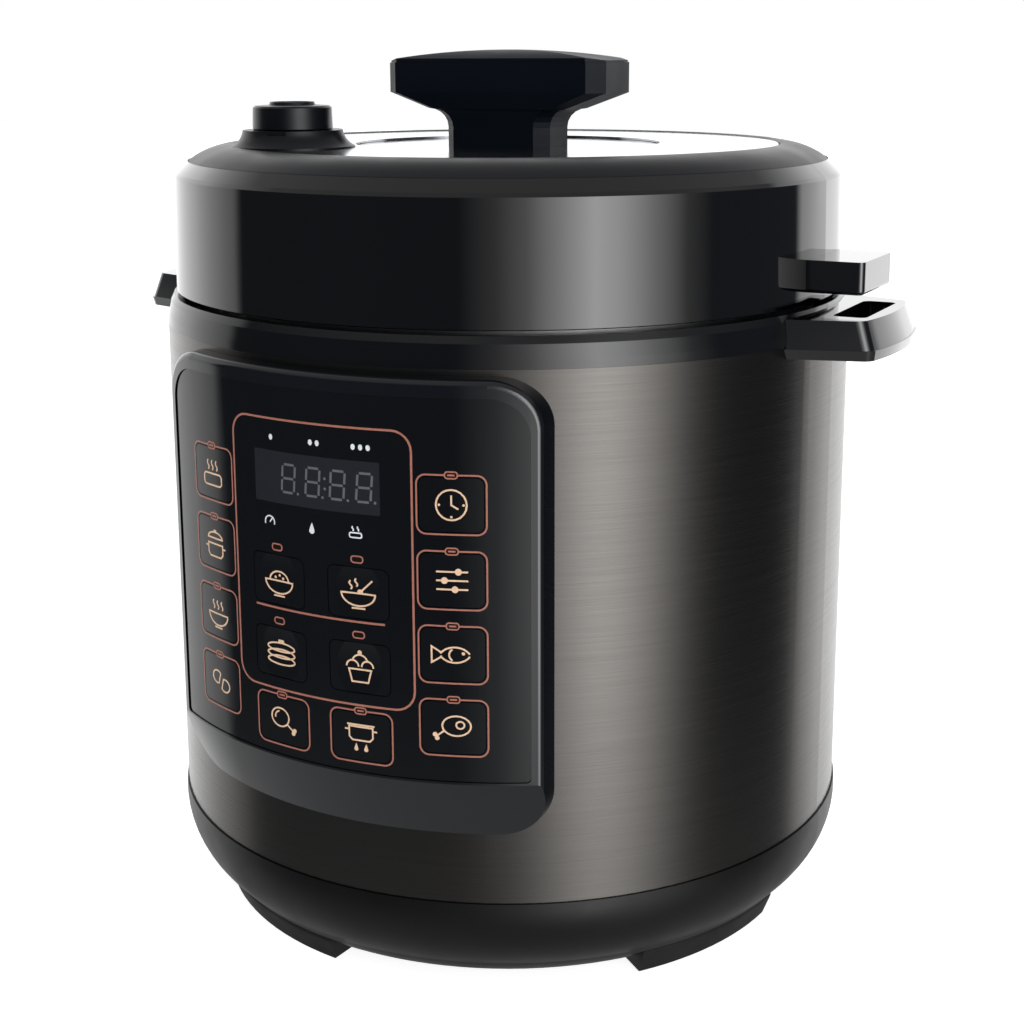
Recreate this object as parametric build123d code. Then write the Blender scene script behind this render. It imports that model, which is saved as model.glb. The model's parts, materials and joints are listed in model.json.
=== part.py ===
from build123d import *
import math
import os

# Electric pressure cooker. Millimetres, +Z up, origin on the cooker's axis at the surface it
# stands on. The control panel faces -Y, and the side handles and the lid handle lie along X.

# ---------------------------------------------------------------- driving dimensions
FOOT_HEIGHT = 4.5
BASE_TOP_Z = 42.0
SHELL_TOP_Z = 236.0
SHELL_R = 138.0
SHELL_WALL = 0.6

COLLAR_TOP_Z = SHELL_TOP_Z + 11.0
SHELF_TOP_Z = COLLAR_TOP_Z - 4.2

POT_INNER_R = 110.0
POT_WALL = 1.5
POT_BOTTOM_Z = 90.2
POT_RIM_R = 116.0
POT_RIM_TOP_Z = 245.6

OUTER_POT_R = 115.2
OUTER_POT_WALL = 1.2
OUTER_POT_BOTTOM_Z = 74.0
LUG_COUNT = 8
LUG_SPAN_DEG = 20.0
LUG_PITCH_DEG = 360 / LUG_COUNT
CLAMP_RING_R = 124.0
CLAMP_RING_TOP_Z = 253.0

SKIRT_BOTTOM_Z = 248.4
SKIRT_BOTTOM_R = 134.3
SKIRT_TOP_Z = 292.9
SKIRT_TOP_R = 133.4
SKIRT_WALL = 2.4
RING_OUTER_R = 127.8
RING_OUTER_Z = 298.7
RING_CREST_Z = 304.6
PLATE_R = 109.0
PLATE_TOP_Z = 304.1
PLATE_THICKNESS = 2.2
PLATE_RECESS_R = 61.5
PLATE_RECESS = 0.9
PRESSURE_LID_R = 115.7
PRESSURE_LID_WALL = 1.6

HANDLE_LENGTH = 97.0
HANDLE_WIDTH = 34.0
HANDLE_CORNER = 6.0
HANDLE_BAND_Z = (324.2, 336.0)
HANDLE_TOP_Z = 341.0
STEM_LENGTH = 46.0
STEM_WIDTH = 26.0
STEM_CORNER = 5.0

VALVE_RADIUS = 88.0
VALVE_ANGLE = -44.0
VALVE_CAP_R = 15.5
VALVE_CAP_Z = (311.0, 320.0)
MOUND_R = (24.0, 19.4)
MOUND_TOP_Z = 310.8
FLOAT_RADIUS = 55.0
FLOAT_ANGLE = 52.0

PANEL_FACE_R = 146.2
LENS_R = 145.7
LENS_THICKNESS = 2.0
PANEL_HALF_WIDTH = 77.2
PANEL_TOP_Z = SHELL_TOP_Z - 2.2
PANEL_BOTTOM_Z = SHELL_TOP_Z - 167.0
PANEL_CREASE_Z = SHELL_TOP_Z - 145.0
PANEL_CORNER = 17.0
LENS_HALF_WIDTH = 74.0
LENS_TOP_Z = SHELL_TOP_Z - 8.2
LENS_BOTTOM_Z = SHELL_TOP_Z - 144.2
LENS_CORNER = 13.0

KEY_GAP = 0.3
KEY_ROW_PITCH = 26.5
INNER_ROW_PITCH = 27.2
SIDE_COLUMN = 50.6
INNER_COLUMN = 16.6

INLET_Z = 68.0
REAR_FACE_Y = PANEL_FACE_R

# Column offset along the panel's arc, top of the key below the shell's top, width and height.
KEYS = {
    "key_keep_warm": (-SIDE_COLUMN, 35.4, 22.2, 18.8),
    "key_open_lid": (-SIDE_COLUMN, 35.4 + KEY_ROW_PITCH, 22.2, 18.8),
    "key_soup": (-SIDE_COLUMN, 35.4 + 2 * KEY_ROW_PITCH, 22.2, 18.8),
    "key_beans": (-SIDE_COLUMN, 35.4 + 3 * KEY_ROW_PITCH, 22.2, 18.8),
    "key_timer": (SIDE_COLUMN, 35.4, 22.2, 18.8),
    "key_taste": (SIDE_COLUMN, 35.4 + KEY_ROW_PITCH, 22.2, 18.8),
    "key_fish": (SIDE_COLUMN, 35.4 + 2 * KEY_ROW_PITCH, 22.2, 18.8),
    "key_meat": (SIDE_COLUMN, 35.4 + 3 * KEY_ROW_PITCH, 22.2, 18.8),
    "key_rice": (-INNER_COLUMN, 69.2, 23.0, 18.2),
    "key_porridge": (INNER_COLUMN, 69.2, 23.0, 18.2),
    "key_pancakes": (-INNER_COLUMN, 69.2 + INNER_ROW_PITCH, 23.0, 18.2),
    "key_dessert": (INNER_COLUMN, 69.2 + INNER_ROW_PITCH, 23.0, 18.2),
    "key_poultry": (-INNER_COLUMN, 122.2, 22.2, 17.4),
    "key_broth": (INNER_COLUMN, 122.2, 22.2, 17.4),
}
DISHED_KEYS = ("key_rice", "key_porridge", "key_pancakes", "key_dessert")

parts = {}


# ---------------------------------------------------------------- helpers
def revolved(*points):
    """Solid of revolution about Z from (radius, height) corners."""
    return revolve(Plane.XZ * make_face(Polyline(*points, close=True)), Axis.Z)


def revolved_curve(*edges):
    """Solid of revolution about Z from a closed loop of (radius, height) edges."""
    return revolve(Plane.XZ * make_face(Curve() + list(edges)), Axis.Z)


def disc(radius, z0, z1):
    return Pos(0, 0, (z0 + z1) / 2) * Cylinder(radius, z1 - z0)


def ring(inner_r, outer_r, z0, z1):
    return disc(outer_r, z0, z1) - disc(inner_r, z0 - 1, z1 + 1)


def block(x0, x1, y0, y1, z0, z1):
    return Pos((x0 + x1) / 2, (y0 + y1) / 2, (z0 + z1) / 2) * Box(x1 - x0, y1 - y0, z1 - z0)


def turned(angle):
    """Turns a piece made at the front round to an angle, positive towards +X."""
    return Rot(0, 0, angle)


def sector(inner_r, outer_r, z0, z1, centre, span):
    """Part of a ring, span degrees wide, centred on an angle from the front."""
    reach = 2 * outer_r
    half = math.radians(span / 2)
    wedge = make_face(
        Polyline(
            (0, 0),
            (-reach * math.sin(half), -reach * math.cos(half)),
            (reach * math.sin(half), -reach * math.cos(half)),
            close=True,
        )
    )
    return turned(centre) * (ring(inner_r, outer_r, z0, z1) & (Pos(0, 0, z0) * extrude(wedge, z1 - z0)))


def front_prism(half_width, z0, z1, corner, y0, y1):
    """Rounded rectangle seen from the front, running from depth y0 to y1 in front of the axis."""
    plane = Plane((0, -y0, (z0 + z1) / 2), x_dir=(1, 0, 0), z_dir=(0, -1, 0))
    return extrude(plane * RectangleRounded(2 * half_width, z1 - z0, corner), y1 - y0)


def front_patch(inner_r, outer_r, half_width, z0, z1, corner):
    """Piece of a curved wall at the front, with a rounded rectangular outline."""
    return ring(inner_r, outer_r, z0 - 1, z1 + 1) & front_prism(half_width, z0, z1, corner, 90, outer_r + 5)


def rounded_slab(length, width, corner, z0, z1):
    return Pos(0, 0, z0) * extrude(RectangleRounded(length, width, corner), z1 - z0)


def chamfered_plan(length, width, corner, z):
    """Flat outline of a rectangle with its corners cut off."""
    x, y = length / 2, width / 2
    right = [(x, corner - y), (x, y - corner), (x - corner, y)]
    left = [(corner - x, y), (-x, y - corner), (-x, corner - y), (corner - x, -y)]
    return Pos(0, 0, z) * make_face(Polyline(*right, *left, (x - corner, -y), close=True))


def chamfered_slab(length, width, corner, z0, z1):
    return extrude(chamfered_plan(length, width, corner, z0), z1 - z0)


def around(count, radius, start=0.0):
    """Places spread evenly round the axis."""
    return [Rot(0, 0, start + i * 360 / count) * Pos(0, -radius, 0) for i in range(count)]


def pan_head_screw(head_r, head_h, shank_r, length):
    """Screw along +Z, with its head's underside at the origin and a cross-shaped drive."""
    drive = Box(head_r * 1.1, head_r * 0.25, head_h) + Box(head_r * 0.25, head_r * 1.1, head_h)
    head = Pos(0, 0, -head_h / 2) * Cylinder(head_r, head_h)
    return head + Pos(0, 0, length / 2) * Cylinder(shank_r, length) - Pos(0, 0, -head_h) * drive


# ---------------------------------------------------------------- base
BASE_EDGE = (127.5, 12.8)
BASE_FLAT_R = 115.0
base_upper_arc = ((138.6, BASE_TOP_Z), (136.4, 25.2), BASE_EDGE)
base_lower_arc = (BASE_EDGE, (123.2, 8.2), (BASE_FLAT_R, FOOT_HEIGHT))


def base_outside():
    """Solid bowl with the base's outer surface."""
    return revolved_curve(
        Line((0, BASE_TOP_Z), base_upper_arc[0]),
        ThreePointArc(*base_upper_arc),
        ThreePointArc(*base_lower_arc),
        Line(base_lower_arc[2], (0, FOOT_HEIGHT)),
        Line((0, FOOT_HEIGHT), (0, BASE_TOP_Z)),
    )


SCREW_CIRCLE_R = 88.0
BASE_FLOOR = 2.6


def make_base_tub():
    hollow = revolved_curve(
        Line((0, BASE_TOP_Z + 1), (135.0, BASE_TOP_Z + 1)),
        Line((135.0, BASE_TOP_Z + 1), (135.0, BASE_TOP_Z)),
        ThreePointArc((135.0, BASE_TOP_Z), (133.4, 26.4), (125.2, 14.6)),
        ThreePointArc((125.2, 14.6), (121.2, 10.5), (114.4, FOOT_HEIGHT + BASE_FLOOR)),
        Line((114.4, FOOT_HEIGHT + BASE_FLOOR), (0, FOOT_HEIGHT + BASE_FLOOR)),
        Line((0, FOOT_HEIGHT + BASE_FLOOR), (0, BASE_TOP_Z + 1)),
    )
    tub = base_outside() - hollow + ring(135.0, 137.2, BASE_TOP_Z - 2, BASE_TOP_Z + 8)
    boss = disc(5, FOOT_HEIGHT + 1, OUTER_POT_BOTTOM_Z)
    for place in around(3, SCREW_CIRCLE_R, 60):
        tub += place * boss
        tub -= place * disc(2.1, 0, 60)
        tub -= place * disc(4.6, 0, FOOT_HEIGHT + 1.8)
    slot = Pos(0, 0, FOOT_HEIGHT + 1) * extrude(SlotOverall(26, 3.2), 6, both=True)
    for row_r, count in ((34, 8), (52, 12)):
        for place in around(count, row_r, 15):
            tub -= place * slot
    return tub


def make_base_feet():
    """Four arc-shaped pads that hug the underside of the base."""
    foot = sector(106, 125, 0, 16, 0, 33) & revolved((100, 0), (121.6, 0), (126.2, 11.5), (100, 11.5))
    foot -= base_outside()
    return Compound(children=[turned(-22.6 + 90 * i) * foot for i in range(4)])


def make_base_screws():
    screw = Pos(0, 0, FOOT_HEIGHT + 1.8) * pan_head_screw(3.8, 1.6, 2.0, 30)
    return Compound(children=[place * screw for place in around(3, SCREW_CIRCLE_R, 60)])


parts["base_tub"] = make_base_tub()
parts["base_feet"] = make_base_feet()
parts["base_screws"] = make_base_screws()


# ---------------------------------------------------------------- body shell and collar
BOARD_OPENING = (56.0, SHELL_TOP_Z - 138, SHELL_TOP_Z - 14)
INLET_NECK = (20.0, 12.0)
SIDE_SCREW_Y = 24.0
SIDE_SCREW_Z = SHELL_TOP_Z - 1.2


def side_screw_holes(radius):
    rod = Rot(0, 90, 0) * Cylinder(radius, 320)
    return Pos(0, SIDE_SCREW_Y, SIDE_SCREW_Z) * rod + Pos(0, -SIDE_SCREW_Y, SIDE_SCREW_Z) * rod


def make_outer_shell():
    shell = ring(SHELL_R - SHELL_WALL, SHELL_R, BASE_TOP_Z, SHELL_TOP_Z)
    half, z0, z1 = BOARD_OPENING
    shell -= front_prism(half, z0, z1, 4, 90, 150)
    neck_w, neck_h = INLET_NECK[0] + 0.3, INLET_NECK[1] + 0.3
    shell -= block(-neck_w, neck_w, 120, 150, INLET_Z - neck_h, INLET_Z + neck_h)
    return shell - side_screw_holes(2.2)


collar_outline = (
    (SHELL_R + 0.2, SHELL_TOP_Z + 0.1),
    (SHELL_R - 0.2, SHELL_TOP_Z + 3.2),
    (136.6, SHELL_TOP_Z + 8.4),
    (135.4, COLLAR_TOP_Z),
)


def make_collar_ring():
    collar = revolved(
        *collar_outline,
        (CLAMP_RING_R + 0.6, COLLAR_TOP_Z),
        (CLAMP_RING_R + 0.6, SHELF_TOP_Z),
        (OUTER_POT_R + 1.3, SHELF_TOP_Z),
        (OUTER_POT_R + 1.3, SHELF_TOP_Z - 3.2),
        (134.4, SHELF_TOP_Z - 3.2),
        (134.4, SHELL_TOP_Z - 9),
        (SHELL_R - SHELL_WALL - 0.2, SHELL_TOP_Z - 9),
        (SHELL_R - SHELL_WALL - 0.2, SHELL_TOP_Z + 0.1),
    )
    return collar - side_screw_holes(2.2)


parts["outer_shell"] = make_outer_shell()
parts["collar_ring"] = make_collar_ring()


# ---------------------------------------------------------------- side handles
SIDE_HANDLE_Z = (SHELL_TOP_Z - 4.5, SHELL_TOP_Z + 9.6)
SIDE_HANDLE_LIP = 3.8
HAND_HOLE_X = (143.6, 156.2)
HAND_HOLE_HALF = 21.6
HANDLE_ROOT_X = 125.0


def handle_plan(root_half, tip_half, bulge_x, corner_x, z):
    """Outline of a side handle seen from above, tapering out to round corners and a bowed edge."""
    outline = make_face(
        Curve()
        + [
            Line((HANDLE_ROOT_X, -root_half), (corner_x, -tip_half)),
            ThreePointArc((corner_x, -tip_half), (bulge_x, 0), (corner_x, tip_half)),
            Line((corner_x, tip_half), (HANDLE_ROOT_X, root_half)),
            Line((HANDLE_ROOT_X, root_half), (HANDLE_ROOT_X, -root_half)),
        ]
    )
    outline = fillet(outline.vertices().filter_by_position(Axis.X, corner_x - 1, corner_x + 1), 5)
    return Pos(0, 0, z) * outline


def make_side_handle():
    bottom_z, top_z = SIDE_HANDLE_Z
    lip_z = bottom_z + SIDE_HANDLE_LIP
    lip_plan = handle_plan(42.4, 31.6, 165.4, 161.6, lip_z)
    top_plan = handle_plan(38.8, 29.4, 161.4, 157.6, top_z)
    body = loft([handle_plan(41.8, 31.0, 164.9, 161.0, lip_z), top_plan])
    lip = loft([handle_plan(40.6, 30.8, 164.6, 161.0, bottom_z), lip_plan])
    handle = body + lip
    hole_x0, hole_x1 = HAND_HOLE_X
    hole = RectangleRounded(hole_x1 - hole_x0, 2 * HAND_HOLE_HALF, 3)
    handle -= Pos((hole_x0 + hole_x1) / 2, 0, bottom_z - 1) * extrude(hole, top_z - bottom_z + 2)
    handle -= disc(SHELL_R + 0.1, 0, SHELL_TOP_Z + 1)
    handle -= revolved(
        (0, SHELL_TOP_Z - 1),
        (SHELL_R + 0.3, SHELL_TOP_Z - 1),
        *[(r + 0.1, z) for r, z in collar_outline],
        (0, COLLAR_TOP_Z),
    )
    for y in (-SIDE_SCREW_Y, SIDE_SCREW_Y):
        handle -= Pos(142, y, SIDE_SCREW_Z) * Rot(0, 90, 0) * Cylinder(1.9, 20)
    return handle


def make_side_handle_screws():
    screw = pan_head_screw(3.4, 1.8, 1.8, 16.0)
    screws = []
    for turn in (0, 180):
        for y in (-SIDE_SCREW_Y, SIDE_SCREW_Y):
            seat_x = math.sqrt(134.4**2 - (abs(y) + 3.4) ** 2) - 0.2
            screws.append(Rot(0, 0, turn) * Pos(seat_x, y, SIDE_SCREW_Z) * Rot(0, 90, 0) * screw)
    return Compound(children=screws)


parts["side_handle_right"] = make_side_handle()
parts["side_handle_left"] = Rot(0, 0, 180) * parts["side_handle_right"]
parts["side_handle_screws"] = make_side_handle_screws()


# ---------------------------------------------------------------- outer pot with its clamping lugs
SENSOR_BORE_R = 17.2
TERMINAL_R = 68.0
TERMINAL_ANGLES = (165.0, 195.0)


def make_outer_pot():
    inner_r = OUTER_POT_R - OUTER_POT_WALL
    shelf_z = SHELF_TOP_Z
    wall = OUTER_POT_WALL
    pot = revolved(
        (38, OUTER_POT_BOTTOM_Z),
        (OUTER_POT_R - 4, OUTER_POT_BOTTOM_Z),
        (OUTER_POT_R, OUTER_POT_BOTTOM_Z + 4),
        (OUTER_POT_R, shelf_z),
        (CLAMP_RING_R, shelf_z),
        (CLAMP_RING_R, CLAMP_RING_TOP_Z),
        (CLAMP_RING_R - wall, CLAMP_RING_TOP_Z),
        (CLAMP_RING_R - wall, shelf_z + wall),
        (inner_r, shelf_z + wall),
        (inner_r, OUTER_POT_BOTTOM_Z + 4.5),
        (inner_r - 3.3, OUTER_POT_BOTTOM_Z + wall),
        (38, OUTER_POT_BOTTOM_Z + wall),
    )
    for i in range(LUG_COUNT):
        lug_z = (CLAMP_RING_TOP_Z - 1.4, CLAMP_RING_TOP_Z)
        pot += sector(117, CLAMP_RING_R - 0.5, *lug_z, i * LUG_PITCH_DEG, LUG_SPAN_DEG)
    for angle in TERMINAL_ANGLES:
        pot -= turned(angle) * Pos(0, -TERMINAL_R, 0) * disc(6, 70, 80)
    for place in around(3, SCREW_CIRCLE_R, 60):
        pot -= place * disc(2.2, 70, 80)
    return pot


parts["outer_pot"] = make_outer_pot()


# ---------------------------------------------------------------- heating plate, sensor and safety parts
PLATE_BOTTOM_Z = 79.0
HEAT_TOP_Z = POT_BOTTOM_Z - 0.3
SPRING_PLATE_Z = (OUTER_POT_BOTTOM_Z + OUTER_POT_WALL, OUTER_POT_BOTTOM_Z + OUTER_POT_WALL + 1.2)
SPRING_SEAT_Z = PLATE_BOTTOM_Z + 3.0
SPRING_CLEARANCE = 0.08
SENSOR_CAP_Z = (86.6, POT_BOTTOM_Z - 0.25)


def make_heating_plate():
    plate = revolved(
        (7, SPRING_PLATE_Z[1]),
        (30, SPRING_PLATE_Z[1]),
        (30, PLATE_BOTTOM_Z),
        (60, PLATE_BOTTOM_Z),
        (60, PLATE_BOTTOM_Z - 1.6),
        (76, PLATE_BOTTOM_Z - 1.6),
        (76, PLATE_BOTTOM_Z),
        (92, PLATE_BOTTOM_Z + 2),
        (96, PLATE_BOTTOM_Z + 6),
        (96, HEAT_TOP_Z - 1.2),
        (90, HEAT_TOP_Z),
        (SENSOR_BORE_R, HEAT_TOP_Z),
        (SENSOR_BORE_R, SPRING_SEAT_Z),
        (7, SPRING_SEAT_Z),
    )
    for groove_r in (40, 58, 76):
        plate -= ring(groove_r, groove_r + 1.2, HEAT_TOP_Z - 0.5, HEAT_TOP_Z + 1)
    return plate


def make_heater_terminals():
    """Ceramic-sleeved studs that carry mains to the element cast into the plate."""
    stud = disc(3.4, 66, PLATE_BOTTOM_Z - 1.6) + disc(2.0, 58, 66) + disc(4.6, 71, 73)
    return Compound(children=[turned(a) * Pos(0, -TERMINAL_R, 0) * stud for a in TERMINAL_ANGLES])


def make_spring_plate():
    plate = ring(10, 52, *SPRING_PLATE_Z)
    for place in around(6, 45, 30):
        plate -= place * disc(2.5, 70, 80)
    return plate


def make_thermal_fuse():
    clip = block(-9, 9, -62, -54, OUTER_POT_BOTTOM_Z - 1, OUTER_POT_BOTTOM_Z)
    body = Pos(0, -58, OUTER_POT_BOTTOM_Z - 4.5) * Rot(0, 90, 0) * Cylinder(3.6, 16)
    return clip + body


def make_pressure_switch():
    """Microswitch on a bracket, worked by the spring plate as the pot is pushed down."""
    body = block(-10, 10, 14, 22, 52, 66)
    bracket = block(-12, 12, 22, 23.2, 50, OUTER_POT_BOTTOM_Z)
    foot = block(-12, 12, 23.2, 44, OUTER_POT_BOTTOM_Z - 1.2, OUTER_POT_BOTTOM_Z)
    button = Pos(0, 18, 0) * disc(2.2, 66, SPRING_PLATE_Z[0] - 0.4)
    return body + bracket + foot + button


def make_sensor_cap():
    cap = disc(SENSOR_BORE_R - 0.5, *SENSOR_CAP_Z)
    cap = fillet(cap.edges().sort_by(Axis.Z)[-1], 1.2)
    return cap + disc(6.4, 70, SENSOR_CAP_Z[0])


def make_sensor_spring():
    """Coil that holds the sensor cap up against the pot."""
    wire_r = 0.55
    start_z = SPRING_SEAT_Z + SPRING_CLEARANCE + wire_r
    height = SENSOR_CAP_Z[0] - wire_r - start_z
    path = Pos(0, 0, start_z) * Helix(pitch=height / 2.5, height=height, radius=11)
    section = Plane(origin=path @ 0, z_dir=path % 0) * Circle(wire_r)
    return sweep(section, path)


parts["heating_plate"] = make_heating_plate()
parts["heater_terminals"] = make_heater_terminals()
parts["spring_plate"] = make_spring_plate()
parts["thermal_fuse"] = make_thermal_fuse()
parts["pressure_switch"] = make_pressure_switch()
parts["sensor_cap"] = make_sensor_cap()
parts["sensor_spring"] = make_sensor_spring()


# ---------------------------------------------------------------- power inlet, boards and wiring
BOARD_Z = 20.0


def make_power_inlet():
    """Proud three-pin inlet at the rear, with its socket open to the back."""
    flange = block(-27, 27, 120, REAR_FACE_Y, INLET_Z - 19, INLET_Z + 19)
    flange = fillet(flange.edges().filter_by(Axis.Y), 6)
    flange -= disc(SHELL_R + 0.1, 0, 120)
    neck_w, neck_h = INLET_NECK
    body = flange + block(-neck_w, neck_w, 121, 141, INLET_Z - neck_h, INLET_Z + neck_h)
    face = Plane((0, 124, INLET_Z), x_dir=(-1, 0, 0), z_dir=(0, 1, 0))
    body -= extrude(face * RectangleRounded(25.0, 17.0, 2.5), 30)
    for pin in make_inlet_pins():
        body -= pin
    rim = body.edges().filter_by_position(Axis.Y, REAR_FACE_Y - 0.01, REAR_FACE_Y + 0.01)
    return fillet(rim, 0.8)


def make_inlet_pins():
    """Two flat pins and an offset earth pin, standing in the socket."""
    pins = []
    for x, z in ((-7, -2.2), (0, 2.2), (7, -2.2)):
        pins.append(block(x - 1, x + 1, 112, 139, INLET_Z + z - 2, INLET_Z + z + 2))
    return pins


def make_power_board():
    board = block(-48, 48, -30, 34, BOARD_Z, BOARD_Z + 1.6)
    for x in (-42, 42):
        for y in (-24, 28):
            board += Pos(x, y, 0) * disc(3, FOOT_HEIGHT + BASE_FLOOR, BOARD_Z)
    return board


def make_board_parts():
    top = BOARD_Z + 1.6
    relay = block(-40, -22, -6, 22, top, top + 16)
    transformer = block(-8, 14, -20, 8, top, top + 20)
    capacitor = Pos(30, 12, 0) * disc(8, top, top + 22)
    fuse = Pos(30, -16, top + 3.2) * Rot(0, 90, 0) * Cylinder(3, 20)
    connector = block(-42, -22, -26, -16, top, top + 9)
    return Compound(children=[relay, transformer, capacitor, fuse, connector])


def make_control_board():
    return block(-46, 46, -126.5, -124.9, SHELL_TOP_Z - 130, SHELL_TOP_Z - 22)


def tube(points, radii, radius):
    """Insulated lead of straight runs joined by tangent arcs."""
    path = FilletPolyline(*points, radius=radii)
    section = Plane(origin=path @ 0, z_dir=path % 0) * Circle(radius)
    return sweep(section, path)


def make_power_leads():
    """Live and neutral leads from the inlet to the power board."""
    leads = []
    for x, z in ((-7, -2.2), (7, -2.2)):
        route = [(x, 112, INLET_Z + z), (x, 102, INLET_Z + z), (x * 1.4, 92, 50)]
        route += [(x * 1.8, 56, 34), (x * 2, 34, 34)]
        leads.append(tube(route, [4, 8, 14], 1.6))
    return leads


def make_heater_leads():
    """Leads that run from the heater studs down beside the board."""
    leads = []
    for angle, side in zip(TERMINAL_ANGLES, (1, -1)):
        a = math.radians(angle)
        x, y = TERMINAL_R * math.sin(a), -TERMINAL_R * math.cos(a)
        route = [(x, y, 58), (x, y, 48), (side * 34, 52, 38), (side * 38, 38, 30)]
        leads.append(tube(route, [4, 6], 1.6))
    return leads


def make_ribbon_cable():
    """Flat cable from the control board, down the front, to the power board."""
    top_z = SHELL_TOP_Z - 128
    outline = [(-124.9, top_z + 10), (-123.7, top_z + 10), (-123.7, 62), (-95, 32), (-34, 32), (-34, 30.8)]
    outline += [(-95.5, 30.8), (-124.9, 61.5)]
    face = Plane.YZ * make_face(Polyline(*outline, close=True))
    return Pos(-38, 0, 0) * extrude(face, 20)


parts["power_inlet"] = make_power_inlet()
parts["inlet_pins"] = Compound(children=make_inlet_pins())
parts["power_board"] = make_power_board()
parts["board_parts"] = make_board_parts()
parts["control_board"] = make_control_board()
parts["wiring"] = Compound(children=make_power_leads() + make_heater_leads())
parts["ribbon_cable"] = make_ribbon_cable()


# ---------------------------------------------------------------- control panel
CARRIER_R = (138.9, 140.2)
MEMBRANE_R = (140.2, 140.6)
DOME_R = 141.0
KEY_BACK_R = 142.3
DISPLAY_HALF = 25.5
DISPLAY_Z = (SHELL_TOP_Z - 50.5, SHELL_TOP_Z - 30.5)


def key_angle(offset):
    return math.degrees(offset / LENS_R)


def key_span(top, height):
    return SHELL_TOP_Z - top - height, SHELL_TOP_Z - top


def lens_patch(inner_r, outer_r, inset):
    """Curved piece with the lens's outline, drawn in all round, round above and square below."""
    half = LENS_HALF_WIDTH - inset
    bottom_z = LENS_BOTTOM_Z + inset
    upper = front_patch(inner_r, outer_r, half, bottom_z, LENS_TOP_Z - inset, LENS_CORNER - inset)
    return upper + front_patch(inner_r, outer_r, half, bottom_z, bottom_z + 2 * LENS_CORNER, 1.5)


def make_panel_bezel():
    """Curved housing with a rounded outer edge and a chin that slopes back to the shell."""
    outer = revolved(
        (120, PANEL_BOTTOM_Z),
        (SHELL_R + 0.4, PANEL_BOTTOM_Z),
        (PANEL_FACE_R, PANEL_CREASE_Z),
        (PANEL_FACE_R, PANEL_TOP_Z),
        (120, PANEL_TOP_Z),
    )
    bezel = outer & front_prism(PANEL_HALF_WIDTH, PANEL_BOTTOM_Z, PANEL_TOP_Z, PANEL_CORNER, 90, 160)
    bezel = bezel - disc(SHELL_R + 0.1, 0, 300)
    bezel -= lens_patch(SHELL_R, LENS_R - LENS_THICKNESS, 2)
    bezel -= lens_patch(LENS_R - LENS_THICKNESS, PANEL_FACE_R + 1, 0)
    face_edges = [
        edge
        for edge in bezel.edges()
        if all(abs(math.hypot(v.X, v.Y) - PANEL_FACE_R) < 0.01 for v in edge.vertices())
    ]
    outer_loop = [edge for edge in face_edges if edge.center().Z > PANEL_CREASE_Z + 1 and is_outer(edge)]
    return fillet(outer_loop, 2.6)


def is_outer(edge):
    """True for an edge of the panel's outline, not of the opening for the lens."""
    c = edge.center()
    return abs(c.X) > LENS_HALF_WIDTH + 0.5 or c.Z > LENS_TOP_Z + 1.5 or in_corner_band(c)


def in_corner_band(c):
    corner_x = PANEL_HALF_WIDTH - PANEL_CORNER
    corner_z = PANEL_TOP_Z - PANEL_CORNER
    if c.X * c.X < corner_x**2 or c.Z < corner_z:
        return False
    return math.hypot(abs(c.X) - corner_x, c.Z - corner_z) > PANEL_CORNER - 3.5


def make_panel_lens():
    lens = lens_patch(LENS_R - LENS_THICKNESS + 0.05, LENS_R, 0.1)
    for offset, top, width, height in KEYS.values():
        z0, z1 = key_span(top, height)
        hole = front_prism(width / 2 + KEY_GAP, z0 - KEY_GAP, z1 + KEY_GAP, 2.6 + KEY_GAP, 130, 150)
        lens -= turned(key_angle(offset)) * hole
    return lens


def make_key(name):
    offset, top, width, height = KEYS[name]
    z0, z1 = key_span(top, height)
    pad = front_patch(KEY_BACK_R, LENS_R, width / 2, z0, z1, 2.6)
    flange = front_patch(KEY_BACK_R, KEY_BACK_R + 1.0, width / 2 + 1.0, z0 - 1.0, z1 + 1.0, 3.4)
    plunger = Pos(0, -KEY_BACK_R, (z0 + z1) / 2) * Rot(90, 0, 0) * Cylinder(2.5, 0.4)
    key = pad + flange + plunger
    if name in DISHED_KEYS:
        key -= Pos(0, -LENS_R - 109.4, (z0 + z1) / 2) * Sphere(110)
    return turned(key_angle(offset)) * key


def make_key_carrier():
    carrier = lens_patch(*CARRIER_R, 2.4)
    return carrier - front_prism(DISPLAY_HALF + 1, DISPLAY_Z[0] - 1, DISPLAY_Z[1] + 1, 1, 90, 150)


def make_key_membrane():
    """Thin switch sheet with a raised dome behind each key."""
    sheet = lens_patch(*MEMBRANE_R, 3)
    sheet -= front_prism(DISPLAY_HALF + 1, DISPLAY_Z[0] - 1, DISPLAY_Z[1] + 1, 1, 90, 150)
    for offset, top, width, height in KEYS.values():
        z0, z1 = key_span(top, height)
        dome = ring(MEMBRANE_R[0] + 0.1, DOME_R - 0.1, z0, z1) & (
            Pos(0, -140, (z0 + z1) / 2) * Rot(90, 0, 0) * Cylinder(4, 20)
        )
        sheet += turned(key_angle(offset)) * dome
    return sheet


def make_display_module():
    """Four-digit display whose face stands just behind the lens."""
    body = block(-DISPLAY_HALF, DISPLAY_HALF, -140.6, -126.6, *DISPLAY_Z)
    return fillet(body.edges().filter_by(Axis.Y), 0.8)


parts["panel_bezel"] = make_panel_bezel()
parts["panel_lens"] = make_panel_lens()
parts["key_carrier"] = make_key_carrier()
parts["key_membrane"] = make_key_membrane()
parts["display_module"] = make_display_module()
for key_name in KEYS:
    parts[key_name] = make_key(key_name)


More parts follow.
